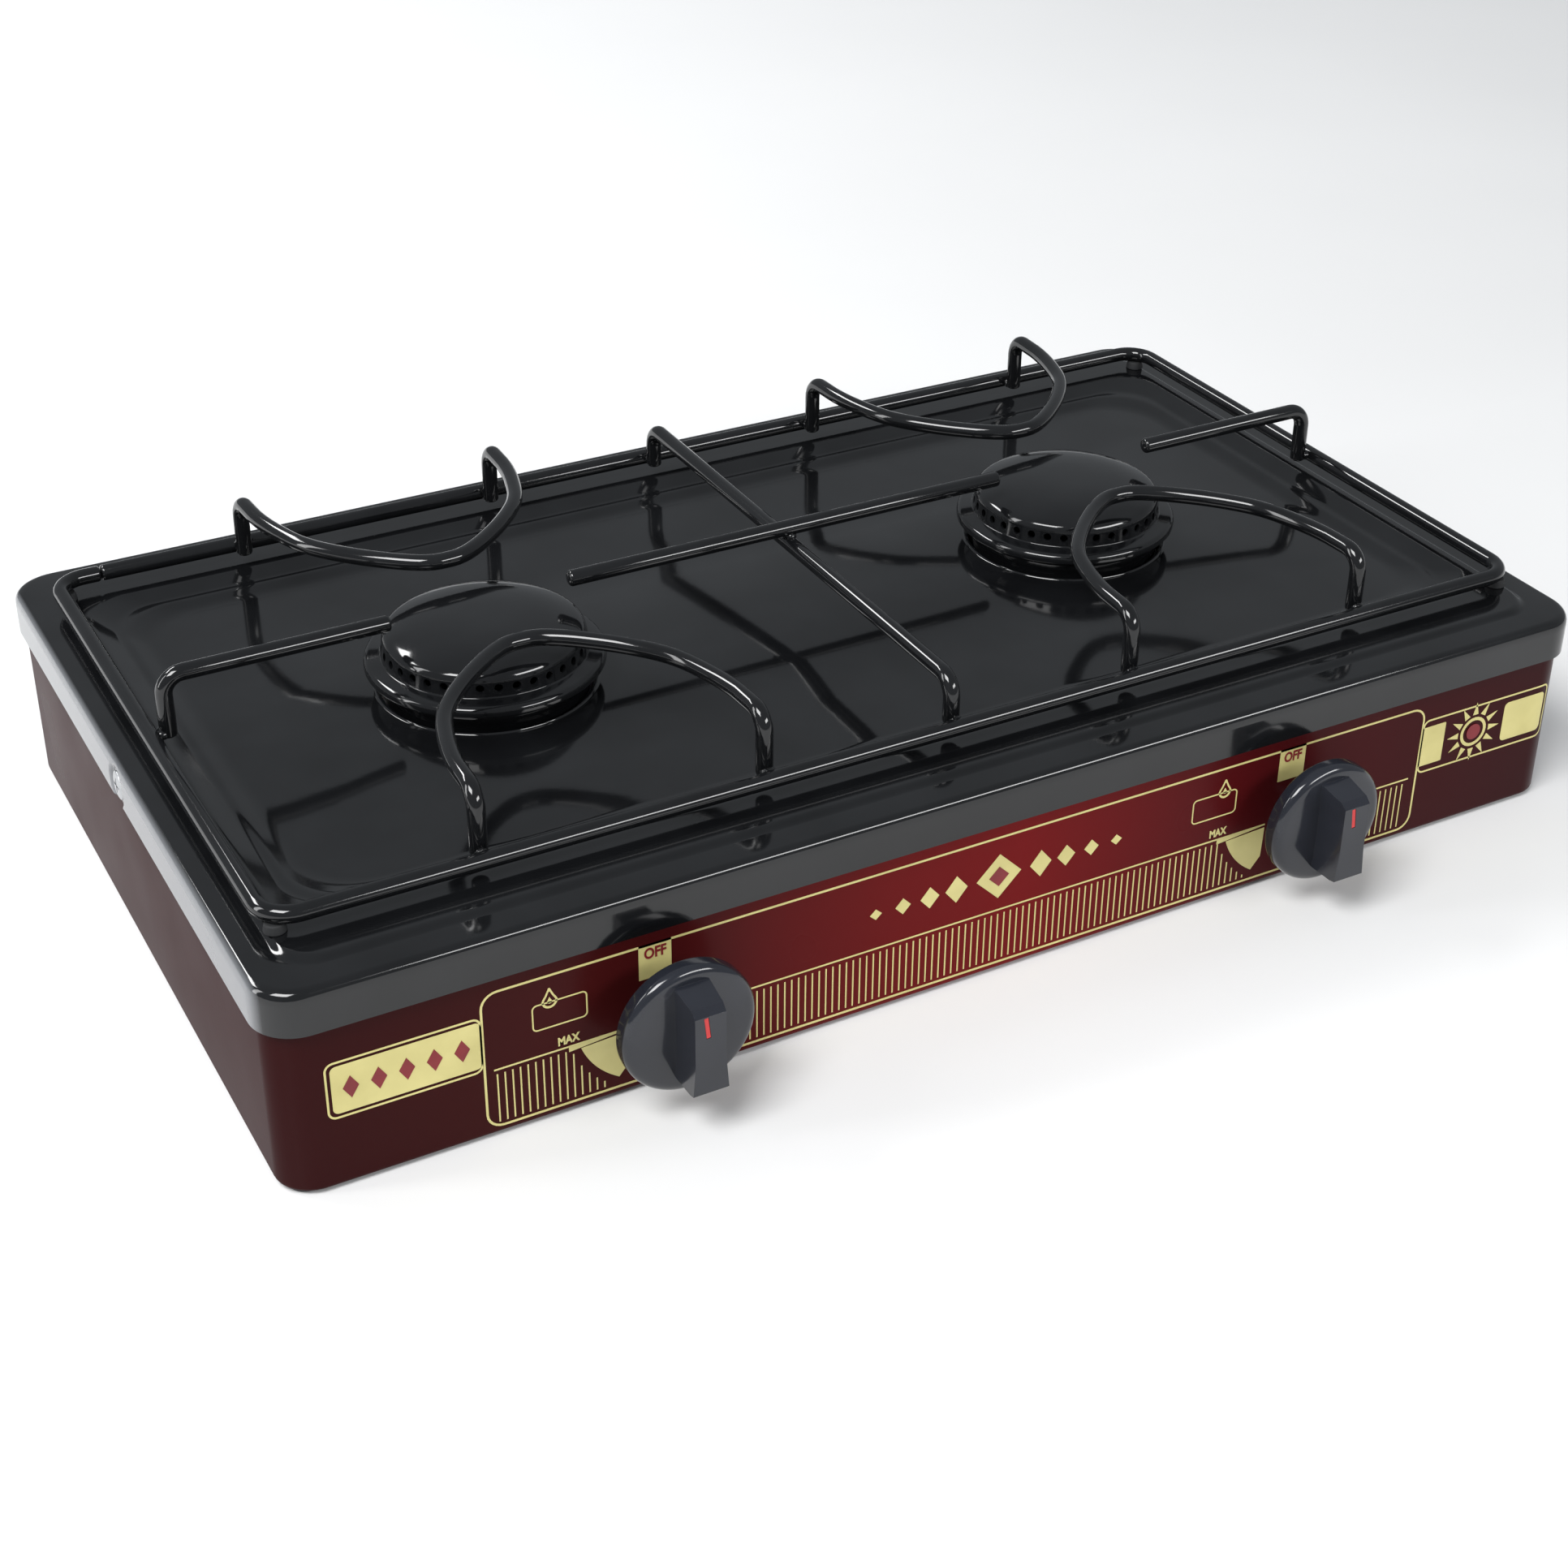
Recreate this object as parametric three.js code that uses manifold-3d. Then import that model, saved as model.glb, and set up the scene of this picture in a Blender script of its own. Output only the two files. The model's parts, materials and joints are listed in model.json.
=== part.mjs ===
// Two-burner table-top gas stove, in millimetres. +X is the user's right, +Y the back, +Z up.
// The origin is on the table top, under the centre of the hob.
import * as THREE from 'three';
import { mergeVertices } from 'three/addons/utils/BufferGeometryUtils.js';
import Module from 'manifold-3d';

const wasm = await Module();
wasm.setup();

// ---- Driving dimensions -------------------------------------------------------------------
const HOB_WIDTH = 515;
const HOB_DEPTH = 300;
const HOB_CORNER = 15;
const SHEET = 1;
const GAP = 0.3; // clearance between touching pieces
const FOOT_HEIGHT = 1.5;
const SKIRT_BOTTOM = 62.5;
const RIM_OUTER = 78.3; // outer band of the rim
const RIM_TOP = 79.8; // raised band that carries the grate
const FLOOR_TOP = 75;
const EDGE_RADIUS = 4.5;

const CASING_INSET = 2.2; // casing wall behind the outside of the hob skirt
const CASING_CORNER = 12.8;
const CASING_TOP = 72;
const FLANGE_WIDTH = 16;

const WIRE_RADIUS = 3;
const WIRE_SIDES = 8;
const GRATE_HALF_X = 244.7;
const GRATE_HALF_Y = 122.4;
const GRATE_CORNER = 11;
const FRAME_WIRE_Z = 86;
const SUPPORT_Z = 107.3; // centre line of the pot supports
const GRATE_CENTRE_Y = 1.5;
const WELD_PITCH = 2 * WIRE_RADIUS + GAP; // centre distance of two wires welded side by side

const BURNER_X = 123.5;
const BURNER_Y = 1.5;
const BURNER_HOLE = 38.6;
const PORT_COUNT = 36;

const KNOB_X = 127;
const KNOB_Z = 34.5;
const KNOB_RADIUS = 23.5;
const KNOB_BACK_Y = -161; // rim of the hollow disc
const KNOB_FRONT_Y = -181.5; // front of the grip
const STEM_RADIUS = 3;

const RAIL_Y = -128;
const RAIL_Z = 18;
const RAIL_RADIUS = 6;
const INLET_X = 190;
const INLET_END_Y = 181.5;

// ---- Finishes -----------------------------------------------------------------------------
function finish(color, roughness, metalness) {
  return new THREE.MeshStandardMaterial({ color, roughness, metalness });
}


const enamel = finish(0x0c0d0f, 0.12, 0);
const paint = finish(0x5a0f14, 0.3, 0);
const knobPlastic = finish(0x2c3036, 0.4, 0);
const redPlastic = finish(0xc8302c, 0.5, 0);
const brass = finish(0xb99a52, 0.35, 1);
const steel = finish(0xa9acb0, 0.35, 1);
const aluminium = finish(0xb9bcc0, 0.4, 1);
const rubber = finish(0x17181a, 0.8, 0);

// ---- Geometry helpers ---------------------------------------------------------------------
// One closed mesh without normals, uvs, double points or empty triangles, facing outwards.
function clean(source) {
  const bare = source.clone();
  bare.deleteAttribute('normal');
  bare.deleteAttribute('uv');
  const merged = mergeVertices(bare, 1e-3);
  const position = merged.getAttribute('position');
  const kept = [];
  for (let i = 0; i < merged.index.count; i += 3) {
    const [a, b, c] = [0, 1, 2].map((k) => merged.index.getX(i + k));
    if (a !== b && b !== c && c !== a) kept.push(a, b, c);
  }
  const corner = (i) => new THREE.Vector3().fromBufferAttribute(position, i);
  let volume = 0;
  for (let i = 0; i < kept.length; i += 3) {
    volume += corner(kept[i]).dot(corner(kept[i + 1]).cross(corner(kept[i + 2])));
  }
  if (volume < 0) kept.reverse();
  merged.setIndex(kept);
  return merged;
}

function solid(source) {
  const mesh = clean(source);
  return new wasm.Manifold(new wasm.Mesh({
    numProp: 3,
    vertProperties: new Float32Array(mesh.getAttribute('position').array),
    triVerts: new Uint32Array(mesh.index.array),
  }));
}

function geometryOf(body) {
  const mesh = body.getMesh();
  const geometry = new THREE.BufferGeometry();
  geometry.setAttribute('position', new THREE.BufferAttribute(new Float32Array(mesh.vertProperties), 3));
  geometry.setIndex([...mesh.triVerts]);
  return geometry;
}

const join = (...sources) => geometryOf(sources.map(solid).reduce((a, b) => a.add(b)));

function cut(base, ...tools) {
  return geometryOf(tools.map(solid).reduce((a, b) => a.subtract(b), solid(base)));
}

const point = (x, y, z) => new THREE.Vector3(x, y, z);

function box(low, high) {
  const size = high.map((value, i) => value - low[i]);
  const middle = high.map((value, i) => (value + low[i]) / 2);
  return new THREE.BoxGeometry(...size).translate(...middle);
}

// Turned about Z from [radius, z] pairs, and about Y from [radius, y] pairs.
const turnedZ = (profile, segments) => turnedY(profile, segments).rotateX(Math.PI / 2);

function turnedY(profile, segments) {
  return new THREE.LatheGeometry(profile.map(([r, h]) => new THREE.Vector2(r, h)), segments);
}

const discProfile = (radius, low, high) => [[0, low], [radius, low], [radius, high], [0, high]];

function ringProfile(inner, outer, low, high) {
  return [[inner, low], [outer, low], [outer, high], [inner, high], [inner, low]];
}

function circle(radius, sides, turn = 0) {
  const corners = [];
  for (let i = 0; i < sides; i += 1) {
    const angle = turn + (2 * Math.PI * i) / sides;
    corners.push(new THREE.Vector2(radius * Math.cos(angle), radius * Math.sin(angle)));
  }
  return corners;
}

// A path whose steps are its own knots, so straight stretches need no extra steps.
class KnotPath extends THREE.Curve {
  constructor(knots) {
    super();
    this.knots = knots;
  }

  getPoint(t, target = new THREE.Vector3()) {
    const last = this.knots.length - 1;
    const place = Math.min(t * last, last);
    const index = Math.min(Math.floor(place + 1e-9), last - 1);
    return target.copy(this.knots[index]).lerp(this.knots[index + 1], place - index);
  }

  getPointAt(u, target) {
    return this.getPoint(u, target);
  }

  getTangentAt(u, target = new THREE.Vector3()) {
    const last = this.knots.length - 1;
    const index = Math.round(u * last);
    const here = this.knots[index];
    target.set(0, 0, 0);
    if (index > 0) target.add(here.clone().sub(this.knots[index - 1]).normalize());
    if (index < last) target.add(this.knots[index + 1].clone().sub(here).normalize());
    return target.normalize();
  }
}

// Knots of a path through corners [point, bend radius], with each bend as an arc.
function bentPath(corners, arcSteps = 4) {
  const knots = [corners[0][0]];
  for (let i = 1; i < corners.length - 1; i += 1) {
    const [at, radius] = corners[i];
    if (radius) {
      const back = corners[i - 1][0].clone().sub(at).normalize();
      const ahead = corners[i + 1][0].clone().sub(at).normalize();
      const half = back.angleTo(ahead) / 2;
      const reach = radius / Math.tan(half);
      const inward = back.clone().add(ahead).normalize();
      const centre = at.clone().addScaledVector(inward, radius / Math.sin(half));
      const start = at.clone().addScaledVector(back, reach).sub(centre);
      const axis = start.clone().cross(at.clone().addScaledVector(ahead, reach).sub(centre)).normalize();
      for (let k = 0; k <= arcSteps; k += 1) {
        const swept = ((Math.PI - 2 * half) * k) / arcSteps;
        knots.push(start.clone().applyAxisAngle(axis, swept).add(centre));
      }
    } else {
      knots.push(at);
    }
  }
  knots.push(corners[corners.length - 1][0]);
  return knots;
}

// A rod or, with a bore, a tube along knots.
function rod(knots, radius, sides = WIRE_SIDES, bore = 0) {
  const section = new THREE.Shape(circle(radius, sides, Math.PI / sides));
  if (bore) section.holes.push(new THREE.Path(circle(bore, sides, Math.PI / sides)));
  const extrudePath = new KnotPath(knots);
  return new THREE.ExtrudeGeometry(section, { steps: knots.length - 1, extrudePath });
}

// Outline of a rectangle with round corners, as points at one height.
function roundedRing(halfX, halfY, radius, z, cornerSteps = 3) {
  const ring = [];
  for (let corner = 0; corner < 4; corner += 1) {
    const signX = corner === 0 || corner === 3 ? 1 : -1;
    const signY = corner < 2 ? 1 : -1;
    for (let k = 0; k <= cornerSteps; k += 1) {
      const angle = (Math.PI / 2) * (corner + k / cornerSteps);
      ring.push(point(
        signX * (halfX - radius) + radius * Math.cos(angle),
        signY * (halfY - radius) + radius * Math.sin(angle),
        z,
      ));
    }
  }
  return ring;
}

// A closed skin over a stack of rings that have equal numbers of points.
function loft(rings) {
  const sides = rings[0].length;
  const points = rings.flat();
  const index = [];
  for (let level = 0; level < rings.length - 1; level += 1) {
    for (let i = 0; i < sides; i += 1) {
      const a = level * sides + i;
      const b = level * sides + ((i + 1) % sides);
      index.push(a, b, b + sides, a, b + sides, a + sides);
    }
  }
  for (const level of [0, rings.length - 1]) {
    const middle = rings[level].reduce((sum, p) => sum.add(p), point(0, 0, 0)).divideScalar(sides);
    points.push(middle);
    for (let i = 0; i < sides; i += 1) {
      const pair = [level * sides + i, level * sides + ((i + 1) % sides)];
      if (level === 0) pair.reverse();
      index.push(points.length - 1, ...pair);
    }
  }
  const geometry = new THREE.BufferGeometry().setFromPoints(points);
  geometry.setIndex(index);
  return geometry;
}

function plateOf(shape, thickness) {
  return new THREE.ExtrudeGeometry(shape, { depth: thickness, bevelEnabled: false });
}

// ---- Hob plate: pressed sheet with a skirt, a raised rim and a shallow well ---------------------
const halfW = HOB_WIDTH / 2;
const halfD = HOB_DEPTH / 2;
const STEP_INSET = 14; // raised rim starts here, measured from the skirt
const WELL_TOP = { x: 239, y: 116.5, radius: 14 };
const WELL_FOOT = { x: 224, y: 102, radius: 22 };
const SCREW_Y = 3;
const SCREW_Z = 68.5;

function insetRing(inset, z) {
  return roundedRing(halfW - inset, halfD - inset, Math.max(HOB_CORNER - inset, 3), z);
}

// The outer edge bends over from the skirt to the rim.
function edgeRings(radius, inset, top) {
  return [0, 30, 60, 90].map((degrees) => {
    const angle = THREE.MathUtils.degToRad(degrees);
    return insetRing(inset + radius * (1 - Math.cos(angle)), top - radius * (1 - Math.sin(angle)));
  });
}

function plateSkin(inset, drop, bottom) {
  return loft([
    insetRing(inset, bottom),
    ...edgeRings(EDGE_RADIUS - inset, inset, RIM_OUTER - drop),
    insetRing(STEP_INSET - 1.5 + inset / 2, RIM_OUTER - drop),
    insetRing(STEP_INSET + inset / 2, RIM_TOP - 0.3 - drop),
    insetRing(STEP_INSET + 1.5, RIM_TOP - drop),
    roundedRing(WELL_TOP.x, WELL_TOP.y, WELL_TOP.radius, RIM_TOP - drop),
    roundedRing(WELL_TOP.x - 2, WELL_TOP.y - 2, WELL_TOP.radius, RIM_TOP - 0.5 - drop),
    roundedRing(WELL_FOOT.x, WELL_FOOT.y, WELL_FOOT.radius, FLOOR_TOP + 0.3 - drop),
    roundedRing(WELL_FOOT.x - 2, WELL_FOOT.y - 2, WELL_FOOT.radius + 2, FLOOR_TOP - drop),
  ]);
}

function hobPlate() {
  const pressed = cut(plateSkin(0, 0, SKIRT_BOTTOM), plateSkin(SHEET, SHEET, SKIRT_BOTTOM - 5));
  const collars = [];
  const holes = [];
  for (const side of [-1, 1]) {
    const collar = ringProfile(BURNER_HOLE, BURNER_HOLE + SHEET, FLOOR_TOP - SHEET, FLOOR_TOP + 2);
    collars.push(turnedZ(collar, 24).translate(side * BURNER_X, BURNER_Y, 0));
    const hole = discProfile(BURNER_HOLE, FLOOR_TOP - 5, FLOOR_TOP + 5);
    holes.push(turnedZ(hole, 24).translate(side * BURNER_X, BURNER_Y, 0));
    collars.push(sideDisc(side, 7.6, halfW - 1.9, halfW - 0.5));
    holes.push(sideDisc(side, 6.6, halfW - 0.9, halfW + 1));
    holes.push(sideDisc(side, 2.3, halfW - 4, halfW));
  }
  return cut(join(pressed, ...collars), ...holes);
}

// A disc lying across the left or right side wall at the side screw.
function sideDisc(side, radius, from, to) {
  const disc = turnedY(discProfile(radius, from, to), 12).rotateZ(-Math.PI / 2);
  if (side < 0) disc.rotateZ(Math.PI);
  return disc.translate(0, SCREW_Y, SCREW_Z);
}

// ---- Casing: a wrap with a bottom flange, and a back panel --------------------------------------
const caseX = halfW - CASING_INSET;
const caseY = halfD - CASING_INSET;
const casingFrontY = -caseY;
const footPlace = { x: caseX - 9.5, y: caseY - 9.5 };
const BACK_WINDOW = { x: 214, low: 7, high: 62 };
const backScrewX = BACK_WINDOW.x + 8;
const BACK_SCREW_Z = [24, 52];
const BACK_SCREW_HOLE = 2.2;
const VENT = { count: 6, pitch: 14, half: 2, low: 26, high: 52 }; // air slots behind each burner

function frontDisc(x, z, radius, from, to, sides = 12) {
  return turnedY(discProfile(radius, from, to), sides).translate(x, 0, z);
}

function caseBlock(inset, low, high) {
  const radius = CASING_CORNER - inset;
  return loft([
    roundedRing(caseX - inset, caseY - inset, Math.max(radius, 2), low),
    roundedRing(caseX - inset, caseY - inset, Math.max(radius, 2), high),
  ]);
}

function casingWrap() {
  const tools = [
    caseBlock(SHEET, FOOT_HEIGHT + SHEET, CASING_TOP + 1),
    caseBlock(FLANGE_WIDTH, 0, CASING_TOP),
    box([-BACK_WINDOW.x, caseY - 3, BACK_WINDOW.low], [BACK_WINDOW.x, caseY + 3, BACK_WINDOW.high]),
  ];
  for (const side of [-1, 1]) {
    tools.push(frontDisc(side * KNOB_X, KNOB_Z, 5, casingFrontY - 2, casingFrontY + 2));
    tools.push(sideDisc(side, 2.3, halfW - 6, halfW));
    for (const z of BACK_SCREW_Z) {
      tools.push(frontDisc(side * backScrewX, z, BACK_SCREW_HOLE, caseY - 2, caseY + 2, 10));
    }
    for (const end of [-1, 1]) {
      const hole = turnedZ(discProfile(3.4, 0, 5), 12);
      tools.push(hole.translate(side * footPlace.x, end * footPlace.y, 0));
    }
  }
  return cut(caseBlock(0, FOOT_HEIGHT, CASING_TOP), ...tools);
}

const PANEL_Y = caseY - SHEET - GAP; // outer face of the back panel

function backPanel() {
  const reach = backScrewX + 7;
  const panel = box(
    [-reach, PANEL_Y - SHEET, BACK_WINDOW.low - 3],
    [reach, PANEL_Y, BACK_WINDOW.high + 6],
  );
  const tools = [frontDisc(INLET_X, RAIL_Z, 7.2, PANEL_Y - 3, PANEL_Y + 3)];
  for (const side of [-1, 1]) {
    for (const z of BACK_SCREW_Z) {
      tools.push(frontDisc(side * backScrewX, z, BACK_SCREW_HOLE, PANEL_Y - 2, PANEL_Y + 2, 10));
    }
    for (let i = 0; i < VENT.count; i += 1) {
      const x = side * BURNER_X + (i - (VENT.count - 1) / 2) * VENT.pitch;
      tools.push(box([x - VENT.half, PANEL_Y - 3, VENT.low], [x + VENT.half, PANEL_Y + 3, VENT.high]));
    }
  }
  return cut(panel, ...tools);
}

function rubberFoot() {
  const stem = 3;
  const head = 4.8;
  const flangeTop = FOOT_HEIGHT + SHEET + GAP;
  return turnedZ([
    [0, 0], [6.6, 0], [6.6, FOOT_HEIGHT - GAP], [stem, FOOT_HEIGHT - GAP],
    [stem, flangeTop], [head, flangeTop], [stem, flangeTop + 2.5], [0, flangeTop + 2.5],
  ], 12);
}

// Pan-head screw along +X from the outer face of its head, with a cross recess.
function screw(headRadius, headHeight, shankRadius, length) {
  const body = turnedY([
    [0, 0], [headRadius * 0.7, 0], [headRadius, headHeight * 0.6], [headRadius, headHeight],
    [shankRadius, headHeight], [shankRadius, length], [0, length],
  ], 10).rotateZ(-Math.PI / 2);
  const depth = headHeight * 0.6;
  const arm = headRadius * 0.55;
  return cut(body, box([-1, -arm, -0.5], [depth, arm, 0.5]), box([-1, -0.5, -arm], [depth, 0.5, arm]));
}

// ---- Grate: a frame wire and welded pot supports ------------------------------------------------
function grateFrame() {
  const [x, front, back] = [GRATE_HALF_X, GRATE_CENTRE_Y - GRATE_HALF_Y, GRATE_CENTRE_Y + GRATE_HALF_Y];
  const seam = -x + GRATE_CORNER + 6;
  const z = FRAME_WIRE_Z;
  return rod(bentPath([
    [point(seam, back, z), 0],
    [point(-x, back, z), GRATE_CORNER],
    [point(-x, front, z), GRATE_CORNER],
    [point(x, front, z), GRATE_CORNER],
    [point(x, back, z), GRATE_CORNER],
    [point(seam + GAP, back, z), 0],
  ]), WIRE_RADIUS);
}

const LEG_FOOT_Z = FRAME_WIRE_Z - 1.5;
const LEG_Y = GRATE_HALF_Y - WELD_PITCH; // legs stand inside the frame wire
const LEG_BEND = 7;
const BOW_TIP_Y = 33.8; // from the burner's centre line

// Plan of half a bow from its leg to its tip: [across, distance from the burner's centre line].
const BOW_HALF = [
  [50.5, LEG_Y], [49.5, 97], [46, 81], [40.5, 67], [30, 53.5], [17, 41.5], [7, 35], [0, BOW_TIP_Y],
];

function potBow(side, end) {
  const across = [...BOW_HALF, ...BOW_HALF.slice(0, -1).reverse().map(([x, y]) => [-x, y])];
  const route = new THREE.CatmullRomCurve3(across.map(([x, y]) => (
    point(side * BURNER_X + x, GRATE_CENTRE_Y + end * y, SUPPORT_Z)
  )), false, 'centripetal');
  const knots = route.getSpacedPoints(18);
  const legs = [knots[0], knots[knots.length - 1]].map((top) => point(top.x, top.y, LEG_FOOT_Z));
  return rod(bentPath([
    [legs[0], 0],
    [knots[0], LEG_BEND],
    ...knots.slice(2, -2).map((knot) => [knot, 0]),
    [knots[knots.length - 1], LEG_BEND],
    [legs[1], 0],
  ]), WIRE_RADIUS);
}

const FINGER_REACH = 35; // free end of a finger, from the burner's centre

function potFinger(side) {
  const x = side * (GRATE_HALF_X - WELD_PITCH);
  const y = GRATE_CENTRE_Y - 1.5;
  return rod(bentPath([
    [point(x, y, LEG_FOOT_Z), 0],
    [point(x, y, SUPPORT_Z), LEG_BEND],
    [point(side * (BURNER_X + FINGER_REACH), y, SUPPORT_Z), 0],
  ]), WIRE_RADIUS);
}

const CENTRE_BAR_X = -1;

function centreBar() {
  const z = SUPPORT_Z - WELD_PITCH;
  const [front, back] = [GRATE_CENTRE_Y - LEG_Y, GRATE_CENTRE_Y + LEG_Y];
  return rod(bentPath([
    [point(CENTRE_BAR_X, front, LEG_FOOT_Z), 0],
    [point(CENTRE_BAR_X, front, z), LEG_BEND],
    [point(CENTRE_BAR_X, back, z), LEG_BEND],
    [point(CENTRE_BAR_X, back, LEG_FOOT_Z), 0],
  ]), WIRE_RADIUS);
}

function crossRod() {
  const reach = BURNER_X - FINGER_REACH + 2;
  const ends = [-reach, reach].map((x) => point(x, GRATE_CENTRE_Y, SUPPORT_Z));
  return rod(ends, WIRE_RADIUS);
}

// Rubber buffer on the rim, under a corner of the frame wire.
const grateBuffer = () => turnedZ([
  [0, RIM_TOP], [3.8, RIM_TOP], [3.2, FRAME_WIRE_Z - WIRE_RADIUS], [0, FRAME_WIRE_Z - WIRE_RADIUS],
], 12);

// ---- Burners: upper shell with ports, lower bowl, mixing tube -----------------------------------
const BOWL_BOTTOM = 57.3;
const NECK_RADIUS = 8;
const PORT_Z = 91.8;

function burnerTop() {
  const shell = turnedZ([
    [41.8, 83.6], [42.9, 83.9], [42.9, 86.6], [42.2, 87.4], [37.2, 88.2], [36, 95.6], [34.6, 97],
    [26, 99.8], [0, 101.5], [0, 100.6], [25.6, 98.9], [33.6, 96.4], [35, 94.8], [36.2, 87.1],
    [41.8, 85.9], [41.8, 83.6],
  ], PORT_COUNT);
  const ports = [];
  for (let i = 0; i < PORT_COUNT; i += 1) {
    const port = new THREE.CylinderGeometry(1.7, 1.7, 6, 4).rotateZ(Math.PI / 2);
    port.translate(35.5, 0, PORT_Z).rotateZ((2 * Math.PI * (i + 0.5)) / PORT_COUNT);
    ports.push(port);
  }
  return cut(shell, ...ports);
}

const NECK_HOLE = NECK_RADIUS + 0.4;

const burnerBowl = () => turnedZ([
  [NECK_HOLE, BOWL_BOTTOM], [28, BOWL_BOTTOM], [35.6, 65.5], [37.6, 78], [41.4, 84.6], [41.4, 85.4],
  [40.4, 85.4], [36.7, 78.3], [34.8, 66], [27.6, BOWL_BOTTOM + 0.9], [NECK_HOLE, BOWL_BOTTOM + 0.9],
  [NECK_HOLE, BOWL_BOTTOM],
], 20);

const STRAP_TOP = BOWL_BOTTOM - GAP;
const STRAP = 1.5;
const STRAP_REACH = 52;

// Hanger strap that carries the bowl from the underside of the hob plate.
function burnerStrap(side) {
  const top = FLOOR_TOP - SHEET - GAP;
  const outline = new THREE.Shape();
  const corners = [
    [-STRAP_REACH - 12, top], [-STRAP_REACH - 12, top - STRAP], [-STRAP_REACH - STRAP, top - STRAP],
    [-STRAP_REACH - STRAP, STRAP_TOP - STRAP], [STRAP_REACH + STRAP, STRAP_TOP - STRAP],
    [STRAP_REACH + STRAP, top - STRAP], [STRAP_REACH + 12, top - STRAP], [STRAP_REACH + 12, top],
    [STRAP_REACH, top], [STRAP_REACH, STRAP_TOP], [-STRAP_REACH, STRAP_TOP], [-STRAP_REACH, top],
  ];
  outline.setFromPoints(corners.map(([y, z]) => new THREE.Vector2(y, z)));
  const strap = plateOf(outline, 24).translate(0, 0, -12);
  strap.rotateX(Math.PI / 2).rotateZ(Math.PI / 2);
  const hole = turnedZ(discProfile(NECK_HOLE, 40, 70), 16);
  return cut(strap, hole).translate(side * BURNER_X, BURNER_Y, 0);
}

const NUT_TOP = STRAP_TOP - STRAP - GAP;

const neckNut = () => cut(
  turnedZ(discProfile(12.5, NUT_TOP - 5, NUT_TOP), 6),
  turnedZ(discProfile(NECK_RADIUS + GAP, NUT_TOP - 8, NUT_TOP + 3), 16),
);

const JET_Y = -112; // back face of the valve body

function mixingTube(side) {
  const mouthY = JET_Y + 12;
  const knots = bentPath([
    [point(side * KNOB_X, mouthY, KNOB_Z), 0],
    [point(side * KNOB_X, mouthY + 30, KNOB_Z), 60],
    [point(side * BURNER_X, BURNER_Y, KNOB_Z), 13],
    [point(side * BURNER_X, BURNER_Y, BOWL_BOTTOM + 3), 0],
  ], 4);
  const mouth = turnedY(ringProfile(NECK_RADIUS - 1, NECK_RADIUS + 3, mouthY - 2, mouthY + 1), 10);
  return join(rod(knots, NECK_RADIUS, 10, NECK_RADIUS - 1), mouth.translate(side * KNOB_X, 0, KNOB_Z));
}

// ---- Gas train: rail, valves, jets and hose nipple ----------------------------------------------
const RAIL_START_X = -KNOB_X - 36;

function gasRail() {
  const tube = rod(bentPath([
    [point(RAIL_START_X, RAIL_Y, RAIL_Z), 0],
    [point(INLET_X, RAIL_Y, RAIL_Z), 22],
    [point(INLET_X, PANEL_Y - 9, RAIL_Z), 0],
  ]), RAIL_RADIUS, 10, RAIL_RADIUS - 1);
  const taps = [-1, 1].map((side) => (
    turnedZ(discProfile(2, RAIL_Z, RAIL_Z + 9), 8).translate(side * KNOB_X, RAIL_Y, 0)
  ));
  return cut(tube, ...taps);
}

// Stopper in the blind end of the rail.
function railPlug() {
  const head = RAIL_RADIUS - 0.5;
  const shank = RAIL_RADIUS - 1.4;
  const plug = turnedY([
    [0, 0], [head, 0], [head, 3], [shank, 3 + GAP], [shank, 12], [0, 12],
  ], 10).rotateZ(-Math.PI / 2);
  return plug.translate(RAIL_START_X - 3 - GAP, RAIL_Y, RAIL_Z);
}

// Plate that stands on the casing flange and holds the rail in its eye.
function railHanger() {
  const low = FOOT_HEIGHT + SHEET + GAP;
  const outline = new THREE.Shape();
  outline.setFromPoints([
    [casingFrontY + 2, low], [RAIL_Y + 10, low], [RAIL_Y + 10, RAIL_Z + 5], [RAIL_Y + 5, RAIL_Z + 10],
    [RAIL_Y - 5, RAIL_Z + 10], [casingFrontY + 2, low + 6],
  ].map(([y, z]) => new THREE.Vector2(y, z)));
  const eye = circle(RAIL_RADIUS + GAP, 16).map((p) => p.add(new THREE.Vector2(RAIL_Y, RAIL_Z)));
  outline.holes.push(new THREE.Path(eye));
  return plateOf(outline, 2.5).rotateX(Math.PI / 2).rotateZ(Math.PI / 2);
}

const VALVE = {
  front: -138,
  back: JET_Y,
  halfX: 11,
  low: RAIL_Z + RAIL_RADIUS + GAP,
  high: KNOB_Z + 11,
};
const GLAND_FRONT = casingFrontY + SHEET + 0.5;
const PLUG_BACK = JET_Y - 4;
const PLUG_FRONT = PLUG_BACK - 13;

function valveBody() {
  const body = box([-VALVE.halfX, VALVE.front, VALVE.low], [VALVE.halfX, VALVE.back, VALVE.high]);
  const gland = frontDisc(0, KNOB_Z, 8, GLAND_FRONT, VALVE.front + 1);
  const counterbore = frontDisc(0, KNOB_Z, 6.2, GLAND_FRONT - 1, -135.5);
  const stemBore = frontDisc(0, KNOB_Z, STEM_RADIUS + 0.3, -137, PLUG_FRONT + 1);
  const plugBore = turnedY([
    [0, PLUG_FRONT - 0.5], [6, PLUG_FRONT - 0.5], [4.9, PLUG_BACK + 0.3], [0, PLUG_BACK + 0.3],
  ], 16);
  const outlet = frontDisc(0, KNOB_Z, 1.2, PLUG_BACK - 1, JET_Y + 1, 8);
  const inlet = turnedZ(discProfile(2, VALVE.low - 1, KNOB_Z), 8);
  inlet.translate(0, (PLUG_FRONT + PLUG_BACK) / 2, 0);
  return cut(join(body, gland), counterbore, stemBore, plugBore.translate(0, 0, KNOB_Z), outlet, inlet);
}

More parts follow.
